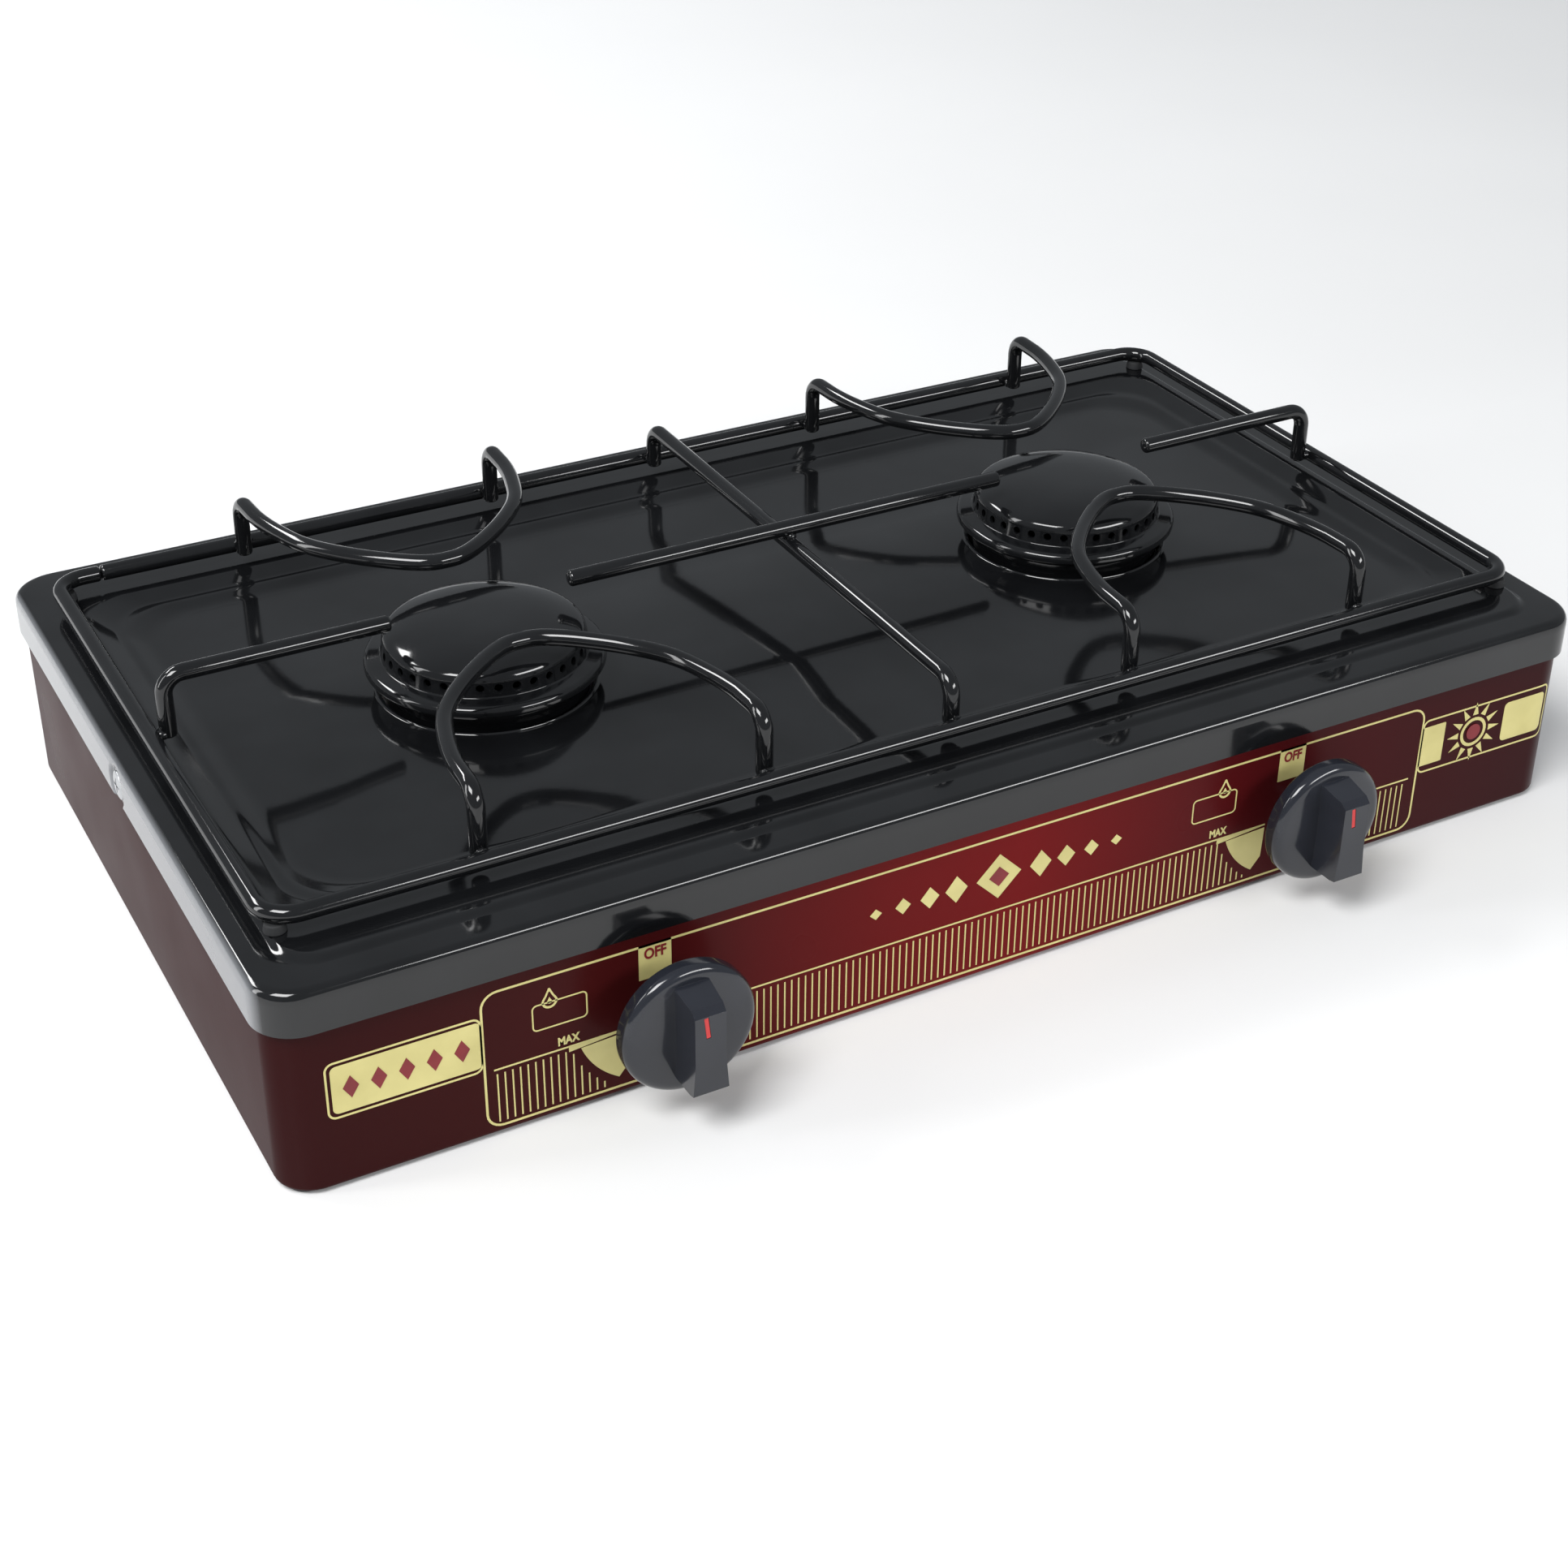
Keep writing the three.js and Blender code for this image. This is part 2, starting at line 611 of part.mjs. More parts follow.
// Tapered plug with a D-shaped socket for the stem and a gas way on one side.
function valvePlug() {
  const cone = turnedY([[0, PLUG_FRONT], [5.6, PLUG_FRONT], [4.5, PLUG_BACK], [0, PLUG_BACK]], 16);
  const bore = frontDisc(0, 0, STEM_RADIUS + 0.25, PLUG_FRONT - 1, PLUG_FRONT + 8);
  const socket = cut(bore, flatCutter(2.25));
  const way = box([3, PLUG_FRONT + 4, -1], [7, PLUG_BACK - 2, 1]);
  return cut(cone, socket, way);
}

// Block that takes the flat of a D-shaped stem off, above the given height.
const flatCutter = (height) => box([-6, -200, height], [6, 0, 10]);

const STEM_BACK = PLUG_FRONT + 4.5;
const STEM_FRONT = KNOB_FRONT_Y + 12;

const stem = () => cut(frontDisc(0, 0, STEM_RADIUS, STEM_FRONT, STEM_BACK, 12), flatCutter(2));

const WASHER_FRONT = GLAND_FRONT + 0.3;

const WASHER = 1.2;

function thrustWasher() {
  return turnedY(ringProfile(STEM_RADIUS + 0.15, 5.6, WASHER_FRONT, WASHER_FRONT + WASHER), 14);
}

// Coil spring behind the washer, drawn with 3.5 turns.
function stemSpring() {
  const start = WASHER_FRONT + WASHER + GAP + 0.5;
  const turns = 3.5;
  const steps = 8; // to a turn
  const pitch = 1.35;
  const knots = [];
  for (let i = 0; i <= turns * steps; i += 1) {
    const angle = (2 * Math.PI * i) / steps;
    knots.push(point(4.5 * Math.cos(angle), start + (pitch * i) / steps, 4.5 * Math.sin(angle)));
  }
  return rod(knots, 0.4, 4);
}

function jet() {
  const hex = turnedY(discProfile(5, JET_Y + GAP, JET_Y + 4), 6);
  const nose = turnedY([[0, JET_Y + 3], [3.2, JET_Y + 3], [2, JET_Y + 9], [0, JET_Y + 9]], 10);
  return cut(join(hex, nose), turnedY(discProfile(0.8, JET_Y - 2, JET_Y + 12), 8));
}

function hoseNipple() {
  const start = PANEL_Y - 8;
  const seat = PANEL_Y + GAP + 0.2;
  const profile = [[2.6, start], [6.6, start], [6.6, seat], [9, seat], [9, seat + 5], [5.2, seat + 6]];
  const ridge = 6.5;
  const first = seat + 9;
  for (let y = first; y + ridge < INLET_END_Y + 0.1; y += ridge) {
    profile.push([5.9, y], [4.7, y + ridge - 0.8]);
  }
  profile.push([4.4, INLET_END_Y], [2.6, INLET_END_Y], [2.6, start]);
  return turnedY(profile, 12).translate(INLET_X, 0, RAIL_Z);
}

const nippleNut = () => cut(
  turnedY(discProfile(10.5, PANEL_Y - SHEET - GAP - 4, PANEL_Y - SHEET - GAP), 6),
  turnedY(discProfile(6.9, PANEL_Y - 20, PANEL_Y + 5), 16),
).translate(INLET_X, 0, RAIL_Z);

// ---- Knobs --------------------------------------------------------------------------------------
const KNOB_FACE = 8.2; // height of the disc's face above its rim
const GRIP = { half: 5.6, low: -15.5, high: 17.5, chamfer: 2.2 };
const POINTER = { half: 0.7, low: 6.6, high: 14.4, depth: 1.2 };

// Hollow disc with a round edge, a stem boss behind it and an upright grip bar on its face.
function knob() {
  const back = KNOB_BACK_Y;
  const disc = turnedY([
    [0, back], [22.6, back], [KNOB_RADIUS, back - 1], [KNOB_RADIUS, back - 4.4], [22.2, back - 6.5],
    [19.6, back - 7.5], [12, back - 8], [0, back - KNOB_FACE],
  ], 24);
  const side = new THREE.Shape([
    [GRIP.low - 0.6, back - 5], [GRIP.low, KNOB_FRONT_Y + 1], [GRIP.low + 1, KNOB_FRONT_Y],
    [GRIP.high - GRIP.chamfer, KNOB_FRONT_Y], [GRIP.high - 0.6, KNOB_FRONT_Y + GRIP.chamfer],
    [GRIP.high + 1.4, back - 5],
  ].map(([z, y]) => new THREE.Vector2(y, z)));
  const grip = plateOf(side, 2 * GRIP.half).translate(0, 0, -GRIP.half);
  grip.rotateX(Math.PI / 2).rotateZ(Math.PI / 2);
  const hollow = turnedY([
    [0, back + 1], [20.8, back + 1], [20.8, back - 3.6], [18.4, back - 5.4], [0, back - 6],
  ], 16);
  const boss = turnedY(discProfile(6, back - 7, back + 4.4), 12);
  const bore = frontDisc(0, 0, STEM_RADIUS + 0.1, STEM_FRONT - GAP, back + 6, 12);
  const socket = cut(bore, flatCutter(2.1));
  return cut(join(cut(disc, hollow), boss, grip), socket, pointerBlock(0.15));
}

// Red pointer line let into the front of the grip, grown by a margin for its pocket.
function pointerBlock(margin) {
  return box(
    [-POINTER.half - margin, KNOB_FRONT_Y - margin, POINTER.low - margin],
    [POINTER.half + margin, KNOB_FRONT_Y + POINTER.depth + margin, POINTER.high + margin],
  );
}

// ---- Assembly -----------------------------------------------------------------------------------
const stove = new THREE.Group();

function place(name, geometry, material, x = 0, y = 0, z = 0) {
  const mesh = new THREE.Mesh(geometry, material);
  mesh.name = name;
  mesh.position.set(x, y, z);
  stove.add(mesh);
  return mesh;
}

place('hob_plate', hobPlate(), enamel);
place('casing_wrap', casingWrap(), paint);
place('back_panel', backPanel(), paint);
place('gas_rail', gasRail(), aluminium);
place('hose_nipple', hoseNipple(), brass);
place('nipple_nut', nippleNut(), brass);
place('rail_plug', railPlug(), brass);
place('grate_frame', grateFrame(), enamel);
place('centre_bar', centreBar(), enamel);
place('cross_rod', crossRod(), enamel);

for (const [side, hand] of [[-1, 'left'], [1, 'right']]) {
  const x = side * BURNER_X;
  place(`burner_top_${hand}`, burnerTop(), enamel, x, BURNER_Y);
  place(`burner_bowl_${hand}`, burnerBowl(), enamel, x, BURNER_Y);
  place(`mixing_tube_${hand}`, mixingTube(side), steel);
  place(`neck_nut_${hand}`, neckNut(), steel, x, BURNER_Y);
  place(`burner_strap_${hand}`, burnerStrap(side), steel);
  place(`pot_finger_${hand}`, potFinger(side), enamel);
  place(`valve_body_${hand}`, valveBody(), aluminium, side * KNOB_X);
  place(`valve_plug_${hand}`, valvePlug(), brass, side * KNOB_X, 0, KNOB_Z);
  place(`jet_${hand}`, jet(), brass, side * KNOB_X, 0, KNOB_Z);
  place(`stem_${hand}`, stem(), steel, side * KNOB_X, 0, KNOB_Z);
  place(`thrust_washer_${hand}`, thrustWasher(), steel, side * KNOB_X, 0, KNOB_Z);
  place(`stem_spring_${hand}`, stemSpring(), steel, side * KNOB_X, 0, KNOB_Z);
  place(`knob_${hand}`, knob(), knobPlastic, side * KNOB_X, 0, KNOB_Z);
  place(`knob_pointer_${hand}`, pointerBlock(0), redPlastic, side * KNOB_X, 0, KNOB_Z);
  place(`rail_hanger_${hand}`, railHanger(), steel, side * 70);
  const sideScrew = place(`side_screw_${hand}`, screw(5.2, 0.9, 2, 7), steel);
  sideScrew.position.set(side * halfW, SCREW_Y, SCREW_Z);
  sideScrew.rotation.z = side > 0 ? Math.PI : 0;
  for (const [end, row] of [[-1, 'front'], [1, 'back']]) {
    place(`pot_bow_${row}_${hand}`, potBow(side, end), enamel);
    place(`foot_${row}_${hand}`, rubberFoot(), rubber, side * footPlace.x, end * footPlace.y);
    const cornerShift = GRATE_CORNER * (1 - Math.SQRT1_2);
    const bufferX = side * (GRATE_HALF_X - cornerShift);
    const bufferY = GRATE_CENTRE_Y + end * (GRATE_HALF_Y - cornerShift);
    place(`grate_buffer_${row}_${hand}`, grateBuffer(), rubber, bufferX, bufferY);
  }
  ['low', 'high'].forEach((level, row) => {
    const backScrew = place(`back_screw_${level}_${hand}`, screw(4, 2, 1.9, 8), steel);
    backScrew.position.set(side * backScrewX, caseY + 2.2, BACK_SCREW_Z[row]);
    backScrew.rotation.z = -Math.PI / 2;
  });
}

export default stove;
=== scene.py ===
import json
from math import ceil, cos, hypot, pi, radians, sin, sqrt

import bmesh
import bpy
from mathutils import Matrix, Vector
from mathutils.geometry import tessellate_polygon


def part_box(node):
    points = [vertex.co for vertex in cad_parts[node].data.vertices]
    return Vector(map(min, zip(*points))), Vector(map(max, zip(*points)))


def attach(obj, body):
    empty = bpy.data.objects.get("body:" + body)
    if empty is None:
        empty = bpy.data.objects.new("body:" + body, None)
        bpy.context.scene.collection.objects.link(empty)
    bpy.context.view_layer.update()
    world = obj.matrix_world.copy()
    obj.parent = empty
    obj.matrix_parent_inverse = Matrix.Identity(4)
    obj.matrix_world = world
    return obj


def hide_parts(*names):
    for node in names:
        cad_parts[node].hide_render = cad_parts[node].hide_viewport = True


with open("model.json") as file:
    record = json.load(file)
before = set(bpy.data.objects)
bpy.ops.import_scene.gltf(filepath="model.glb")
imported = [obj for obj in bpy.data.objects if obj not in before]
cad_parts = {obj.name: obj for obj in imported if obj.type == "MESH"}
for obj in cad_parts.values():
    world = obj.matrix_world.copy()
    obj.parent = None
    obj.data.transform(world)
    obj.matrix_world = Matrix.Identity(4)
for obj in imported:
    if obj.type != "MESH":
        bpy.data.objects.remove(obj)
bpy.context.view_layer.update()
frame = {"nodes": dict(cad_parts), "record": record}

MM = 0.001
SIDES = ((-1, "left"), (1, "right"))
ENDS = ((-1, "front"), (1, "back"))

# ---- Dimensions of the CAD part, in millimetres ------------------------------------------------
HOB_X, HOB_Y = 257.5, 150
SKIRT_BOTTOM = 62.5
RIM_OUTER = 78.3
RIM_TOP = 79.8
FLOOR_TOP = 75
SHEET = 1
SCREW_Y, SCREW_Z = 3, 68.5

CASE_X, CASE_Y = 255.3, 147.8
CASE_CORNER = 12.8
CASE_LOW, CASE_HIGH = 1.5, 72
FLANGE = 16
WINDOW = {"x": 214, "low": 7, "high": 62}
FOOT_X, FOOT_Y = CASE_X - 9.5, CASE_Y - 9.5
BACK_SCREW_X = WINDOW["x"] + 8
BACK_SCREW_Z = (24, 52)
STEM_HOLE, BACK_SCREW_HOLE, FOOT_HOLE = 5, 2.2, 3.4

WIRE = 3
WELD_PITCH = 6.3
WELD_REACH, WELD_RISE = 2.9, 2.1
GRATE_X, GRATE_Y = 244.7, 122.4
GRATE_CORNER = 11
GRATE_MID_Y = 1.5
CENTRE_BAR_X = -1
FRAME_Z, SUPPORT_Z = 86, 107.3
LEG_FOOT_Z = FRAME_Z - 1.5
LEG_Y = GRATE_Y - WELD_PITCH
LEG_BEND = 7
BOW_HALF = [(50.5, LEG_Y), (49.5, 97), (46, 81), (40.5, 67), (30, 53.5), (17, 41.5), (7, 35), (0, 33.8)]

BURNER_X, BURNER_Y = 123.5, 1.5
ROD_TIP, FINGER_TIP = BURNER_X - 33, BURNER_X + 35
BOWL_BOTTOM = 57.3
PORT_COUNT = 36
PORT_Z = 91.8

KNOB_X, KNOB_Z = 127, 34.5
KNOB_BACK, KNOB_FRONT = -161, -181.5
KNOB_RADIUS = 23.5


# ---- Mesh helpers ------------------------------------------------------------------------------
def mesh_of(name, points, faces, crease=35):
    """A smooth-shaded mesh from points in millimetres. Edges steeper than crease degrees stay sharp."""
    mesh = bpy.data.meshes.new(name)
    mesh.from_pydata([Vector(p) * MM for p in points], [], faces)
    mesh.validate()
    mesh.polygons.foreach_set("use_smooth", [True] * len(mesh.polygons))
    mesh.set_sharp_from_angle(angle=radians(crease))
    mesh.update()
    return mesh


def piece(name, mesh, material, body, nodes=(), at=(0, 0, 0), turn=None):
    """Places a mesh as a visible piece that rides on a body and stands for CAD nodes."""
    obj = bpy.data.objects.new(name, mesh)
    bpy.context.scene.collection.objects.link(obj)
    if not mesh.materials:
        mesh.materials.append(material)
    obj.location = Vector(at) * MM
    if turn:
        obj.rotation_euler = turn
    bpy.context.view_layer.update()
    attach(obj, body)
    if nodes:
        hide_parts(*nodes)
    return obj


def combined(name, mesh, tools, operation="DIFFERENCE", crease=35):
    """The mesh after an exact boolean with each tool mesh in turn."""
    scene = bpy.context.scene
    base = bpy.data.objects.new(name, mesh)
    scene.collection.objects.link(base)
    helpers = []
    for tool in tools:
        helper = bpy.data.objects.new("tool", tool)
        scene.collection.objects.link(helper)
        helpers.append(helper)
        cut = base.modifiers.new("cut", "BOOLEAN")
        cut.operation = operation
        cut.solver = "EXACT"
        cut.object = helper
    bpy.context.view_layer.update()
    evaluated = base.evaluated_get(bpy.context.evaluated_depsgraph_get())
    result = bpy.data.meshes.new_from_object(evaluated)
    for obj in [base, *helpers]:
        bpy.data.objects.remove(obj)
    result.polygons.foreach_set("use_smooth", [True] * len(result.polygons))
    result.set_sharp_from_angle(angle=radians(crease))
    return result


def soften(stations, steps=4):
    """Rounds the corners of a profile of (values, reach) stations.

    Reach is how far from its corner a curve starts. A corner with a reach of 0 stays sharp.
    """
    rounded = [Vector(stations[0][0])]
    triples = zip(stations, stations[1:], stations[2:])
    for (before, reach_before), (at, reach), (after, reach_after) in triples:
        before, at, after = Vector(before), Vector(at), Vector(after)
        if not reach:
            rounded.append(at)
            continue
        # shares of the two neighbouring stretches, as normalized() skips the fourth value of a vector
        share_before = min(reach / (before - at).length, 0.49 if reach_before else 0.95)
        share_after = min(reach / (after - at).length, 0.49 if reach_after else 0.95)
        start = at + (before - at) * share_before
        end = at + (after - at) * share_after
        for k in range(steps + 1):
            t = k / steps
            rounded.append(start * (1 - t) ** 2 + at * 2 * t * (1 - t) + end * t ** 2)
    rounded.append(Vector(stations[-1][0]))
    return rounded


def lathe(name, profile, segments=96, axis="Z"):
    """Turns (radius, height) pairs about Z or Y.

    The profile starts and ends on the axis, or closes on itself.
    """
    points, rows = [], []
    for radius, height in profile:
        count = 1 if radius < 1e-6 else segments
        rows.append([len(points) + i for i in range(count)])
        for i in range(count):
            angle = 2 * pi * i / segments
            across, along = radius * cos(angle), radius * sin(angle)
            points.append((across, along, height) if axis == "Z" else (across, height, -along))
    faces = []
    for low, high in zip(rows, rows[1:]):
        for i in range(segments):
            a, b = low[i % len(low)], low[(i + 1) % len(low)]
            c, d = high[(i + 1) % len(high)], high[i % len(high)]
            corners = list(dict.fromkeys((a, b, c, d)))
            if len(corners) > 2:
                faces.append(corners)
    if len(rows[0]) > 1 and (Vector(profile[0]) - Vector(profile[-1])).length < 1e-6:
        last = {old: new for old, new in zip(rows[-1], rows[0])}
        faces = [[last.get(i, i) for i in face] for face in faces]
        points = points[:rows[-1][0]]
    return mesh_of(name, points, faces)


def block_mesh(name, low, high):
    """A box between its lowest and its highest corner."""
    outline = [(low[0], low[1]), (high[0], low[1]), (high[0], high[1]), (low[0], high[1])]
    points = [(x, y, z) for z in (low[2], high[2]) for x, y in outline]
    faces = [[3, 2, 1, 0], [4, 5, 6, 7]]
    for i in range(4):
        j = (i + 1) % 4
        faces.append([j + 4, i + 4, i, j])
    return mesh_of(name, points, faces)


def rounded_ring(half_x, half_y, radius, z, extra_y=()):
    """Rectangle with round corners at one height, with extra points on its left and right sides."""
    ring = []
    steps = 12
    for corner in range(4):
        sign_x = 1 if corner in (0, 3) else -1
        sign_y = 1 if corner < 2 else -1
        for k in range(steps + 1):
            angle = pi / 2 * (corner + k / steps)
            ring.append((
                sign_x * (half_x - radius) + radius * cos(angle),
                sign_y * (half_y - radius) + radius * sin(angle),
                z,
            ))
        if corner in (1, 3):
            ring += [(sign_x * half_x, y, z) for y in sorted(extra_y, reverse=sign_x < 0)]
    return ring


def loft_faces(ring_count, sides, first=0):
    """Quads between rings of equal counts whose points follow each other from the first index."""
    faces = []
    for level in range(ring_count - 1):
        for i in range(sides):
            a = first + level * sides + i
            b = first + level * sides + (i + 1) % sides
            faces.append([a, b, b + sides, a + sides])
    return faces


def inner_stations(stations, thickness):
    """The other skin of a sheet whose outer profile runs through (half x, half y, corner radius, z)."""
    inner = []
    last = len(stations) - 1
    for i, (half_x, half_y, radius, z) in enumerate(stations):
        before, after = stations[max(i - 1, 0)], stations[min(i + 1, last)]
        run, rise = after[0] - before[0], after[3] - before[3]
        out = thickness * rise / hypot(run, rise)
        up = -thickness * run / hypot(run, rise)
        inner.append((half_x - out, half_y - out, max(radius - out, 1.5), z - up))
    return inner


def seam_faces(one, other):
    """Quads that join two rings of points with equal counts."""
    count = len(one)
    return [[one[i], other[i], other[(i + 1) % count], one[(i + 1) % count]] for i in range(count)]


def bent_path(corners, steps=8):
    """Points of a path through corners (point, bend radius), each bend as an arc."""
    path = [Vector(corners[0][0])]
    for (before, _), (at, radius), (after, _) in zip(corners, corners[1:], corners[2:]):
        at = Vector(at)
        if not radius:
            path.append(at)
            continue
        back, ahead = (Vector(before) - at).normalized(), (Vector(after) - at).normalized()
        half = back.angle(ahead) / 2
        centre = at + (back + ahead).normalized() * (radius / sin(half))
        start = at + back * (radius * cos(half) / sin(half)) - centre
        axis = start.cross(at + ahead * (radius * cos(half) / sin(half)) - centre).normalized()
        for k in range(steps + 1):
            path.append(centre + Matrix.Rotation((pi - 2 * half) * k / steps, 3, axis) @ start)
    path.append(Vector(corners[-1][0]))
    return path


def tube(name, path, radius):
    """A rod along a path with slightly rounded ends."""
    sides = 20
    last = len(path) - 1
    angles = [2 * pi * k / sides for k in range(sides)]
    dome = 0.35 * radius
    cap = [(0.0, radius * 0.72), (dome * 0.45, radius * 0.93), (dome, radius)]
    tangents = [(path[min(i + 1, last)] - path[max(i - 1, 0)]).normalized() for i in range(last + 1)]
    across = tangents[0].orthogonal().normalized()
    rings = []
    for i, (centre, tangent) in enumerate(zip(path, tangents)):
        across = (across - tangent * across.dot(tangent)).normalized()
        up = tangent.cross(across)
        sizes = [(0.0, radius)]
        if i == 0:
            sizes = cap
        elif i == last:
            sizes = [(-shift, size) for shift, size in reversed(cap)]
        for shift, size in sizes:
            middle = centre + tangent * shift
            rings.append([middle + (across * cos(a) + up * sin(a)) * size for a in angles])
    points = [p for ring in rings for p in ring]
    faces = loft_faces(len(rings), sides)
    end = len(points) - sides
    faces += [list(range(sides))[::-1], list(range(end, end + sides))]
    return mesh_of(name, points, faces, crease=60)


def spline(points):
    """Smooth curve through points, resampled to a spacing of about 3 mm."""
    spacing = 3.0
    points = [Vector(p) for p in points]
    padded = [points[0] * 2 - points[1], *points, points[-1] * 2 - points[-2]]
    curve = []
    for a, b, c, d in zip(padded, padded[1:], padded[2:], padded[3:]):
        steps = max(2, ceil((c - b).length / spacing))
        for k in range(steps):
            t = k / steps
            square = (2 * a - 5 * b + 4 * c - d) * t ** 2
            cube = (3 * b - a - 3 * c + d) * t ** 3
            curve.append(0.5 * (2 * b + (c - a) * t + square + cube))
    curve.append(points[-1])
    return curve


# ---- Materials ---------------------------------------------------------------------------------
def srgb(red, green, blue):
    """Linear colour of an 8-bit display colour."""
    def linear(value):
        share = value / 255
        return share / 12.92 if value <= 10 else ((share + 0.055) / 1.055) ** 2.4

    return (linear(red), linear(green), linear(blue), 1.0)


class Look:
    """A node material with a Principled shader and helpers for its procedural detail."""

    def __init__(self, name, metallic=0.0, coat=0.0, specular=0.5):
        self.material = bpy.data.materials.new(name)
        self.material.use_nodes = True
        self.nodes = self.material.node_tree.nodes
        self.links = self.material.node_tree.links
        self.shader = self.nodes["Principled BSDF"]
        self.shader.inputs["Metallic"].default_value = metallic
        self.shader.inputs["Coat Weight"].default_value = coat
        self.shader.inputs["Coat Roughness"].default_value = 0.06
        self.shader.inputs["Specular IOR Level"].default_value = specular
        self.where = self.nodes.new("ShaderNodeTexCoord").outputs["Object"]

    def noise(self, scale, detail=3.0, stretch=(1, 1, 1)):
        source = self.where
        if stretch != (1, 1, 1):
            mapping = self.nodes.new("ShaderNodeMapping")
            mapping.inputs["Scale"].default_value = stretch
            self.links.new(self.where, mapping.inputs["Vector"])
            source = mapping.outputs["Vector"]
        texture = self.nodes.new("ShaderNodeTexNoise")
        texture.inputs["Scale"].default_value = scale
        texture.inputs["Detail"].default_value = detail
        self.links.new(source, texture.inputs["Vector"])
        return texture.outputs["Fac"]

    def ramp(self, value, stops):
        node = self.nodes.new("ShaderNodeValToRGB")
        elements = node.color_ramp.elements
        while len(elements) < len(stops):
            elements.new(0.5)
        for element, (place, colour) in zip(elements, stops):
            element.position = place
            element.color = colour
        self.links.new(value, node.inputs["Fac"])
        return node.outputs["Color"]

    def spread(self, value, low, high, source=(0.3, 0.7)):
        """The value mapped from the source range to low..high."""
        node = self.nodes.new("ShaderNodeMapRange")
        for key, number in zip(("From Min", "From Max", "To Min", "To Max"), (*source, low, high)):
            node.inputs[key].default_value = number
        self.links.new(value, node.inputs["Value"])
        return node.outputs["Result"]

    def axis(self, name):
        node = self.nodes.new("ShaderNodeSeparateXYZ")
        self.links.new(self.where, node.inputs["Vector"])
        return node.outputs[name]

    def blend(self, one, other, amount, kind="MIX"):
        node = self.nodes.new("ShaderNodeMix")
        node.data_type = "RGBA"
        node.blend_type = kind
        for value, key in ((one, "A"), (other, "B")):
            socket = next(s for s in node.inputs if s.name == key and s.type == "RGBA")
            if isinstance(value, tuple):
                socket.default_value = value
            else:
                self.links.new(value, socket)
        factor = node.inputs["Factor"]
        if isinstance(amount, float):
            factor.default_value = amount
        else:
            self.links.new(amount, factor)
        return next(s for s in node.outputs if s.type == "RGBA")

    def colour(self, value):
        self.links.new(value, self.shader.inputs["Base Color"])

    def roughness(self, value):
        self.links.new(value, self.shader.inputs["Roughness"])

    def specular(self, value):
        self.links.new(value, self.shader.inputs["Specular IOR Level"])

    def bump(self, value, strength):
        node = self.nodes.new("ShaderNodeBump")
        node.inputs["Strength"].default_value = strength
        node.inputs["Distance"].default_value = 0.2 * MM
        self.links.new(value, node.inputs["Height"])
        self.links.new(node.outputs["Normal"], self.shader.inputs["Normal"])


def enamel_look():
    """Fired gloss enamel: near black, faintly uneven, with a fine orange-peel surface.

    The left side of the skirt is painted a paler grey than the rest of the hob: a painted reflection of the
    bright surroundings.
    """
    look = Look("black enamel", specular=0.55)
    tones = [(0.3, (0.0036, 0.0038, 0.0043, 1)), (0.7, (0.0062, 0.0066, 0.0074, 1))]
    dark = look.ramp(look.noise(35), tones)
    # painted reflection: the left side of the skirt takes a paler grey in its colour, standing in for the
    # bright surroundings it mirrors
    left_skirt_painted_reflection = look.spread(look.axis("X"), 1, 0, ((0.3 - HOB_X) * MM, (2.3 - HOB_X) * MM))
    look.colour(look.blend(dark, (0.16, 0.165, 0.175, 1), left_skirt_painted_reflection))
    look.roughness(look.spread(look.noise(8, 2), 0.07, 0.1))
    look.bump(look.noise(260, 2), 0.04)
    return look.material


def paint_look():
    """Dark red paint that is brightest in the middle of the front and dull on its left side."""
    look = Look("maroon paint")
    gloss = look.spread(look.axis("X"), 0.01, 0.07, (-0.2556, -0.25))
    look.specular(gloss)
    along = look.spread(look.axis("X"), 0, 1, (-0.26, 0.26))
    base = look.ramp(along, [
        (0.0, srgb(44, 9, 10)), (0.03, srgb(46, 10, 11)), (0.14, srgb(52, 14, 14)),
        (0.27, srgb(64, 15, 16)), (0.42, srgb(96, 17, 18)), (0.52, srgb(104, 16, 18)),
        (0.68, srgb(72, 14, 17)), (0.86, srgb(54, 12, 15)),
        (1.0, srgb(44, 9, 12)),
    ])
    cloudy = look.ramp(look.noise(6, 2), [(0.2, (0.93, 0.93, 0.93, 1)), (0.8, (1, 1, 1, 1))])
    look.colour(look.blend(base, cloudy, 1.0, "MULTIPLY"))
    look.roughness(look.spread(look.noise(20, 2), 0.27, 0.33))
    look.bump(look.noise(420, 2), 0.05)
    return look.material


def plain_look(name, light, dark, rough, grain=500, bump=0.08, metallic=0.0, coat=0.0, stretch=(1, 1, 1)):
    """Colour that wanders between two tones, with a fine grain in its surface."""
    look = Look(name, metallic=metallic, coat=coat)
    look.colour(look.ramp(look.noise(60, 4, stretch), [(0.3, dark), (0.7, light)]))
    look.roughness(look.spread(look.noise(90, 4, stretch), *rough))
    look.bump(look.noise(grain, 3, stretch), bump)
    return look.material


ENAMEL = enamel_look()
PAINT = paint_look()
GOLD_PRINT = plain_look("gold print", srgb(206, 196, 130), srgb(190, 180, 116), (0.4, 0.55), bump=0.04)
RED_PRINT = plain_look("red print", srgb(128, 26, 34), srgb(108, 20, 28), (0.4, 0.55), bump=0.04)
KNOB_PLASTIC = plain_look(
    "knob plastic", srgb(34, 36, 43), srgb(28, 30, 36), (0.1, 0.17), grain=900, bump=0.03, coat=0.15)
POINTER_RED = plain_look("pointer red", srgb(198, 50, 50), srgb(176, 40, 42), (0.4, 0.5))
RUBBER = plain_look("rubber", srgb(34, 35, 37), srgb(24, 25, 26), (0.7, 0.85), grain=700, bump=0.2)
BRASS = plain_look("brass", (0.62, 0.45, 0.2, 1), (0.42, 0.29, 0.12, 1), (0.22, 0.4), metallic=1.0)
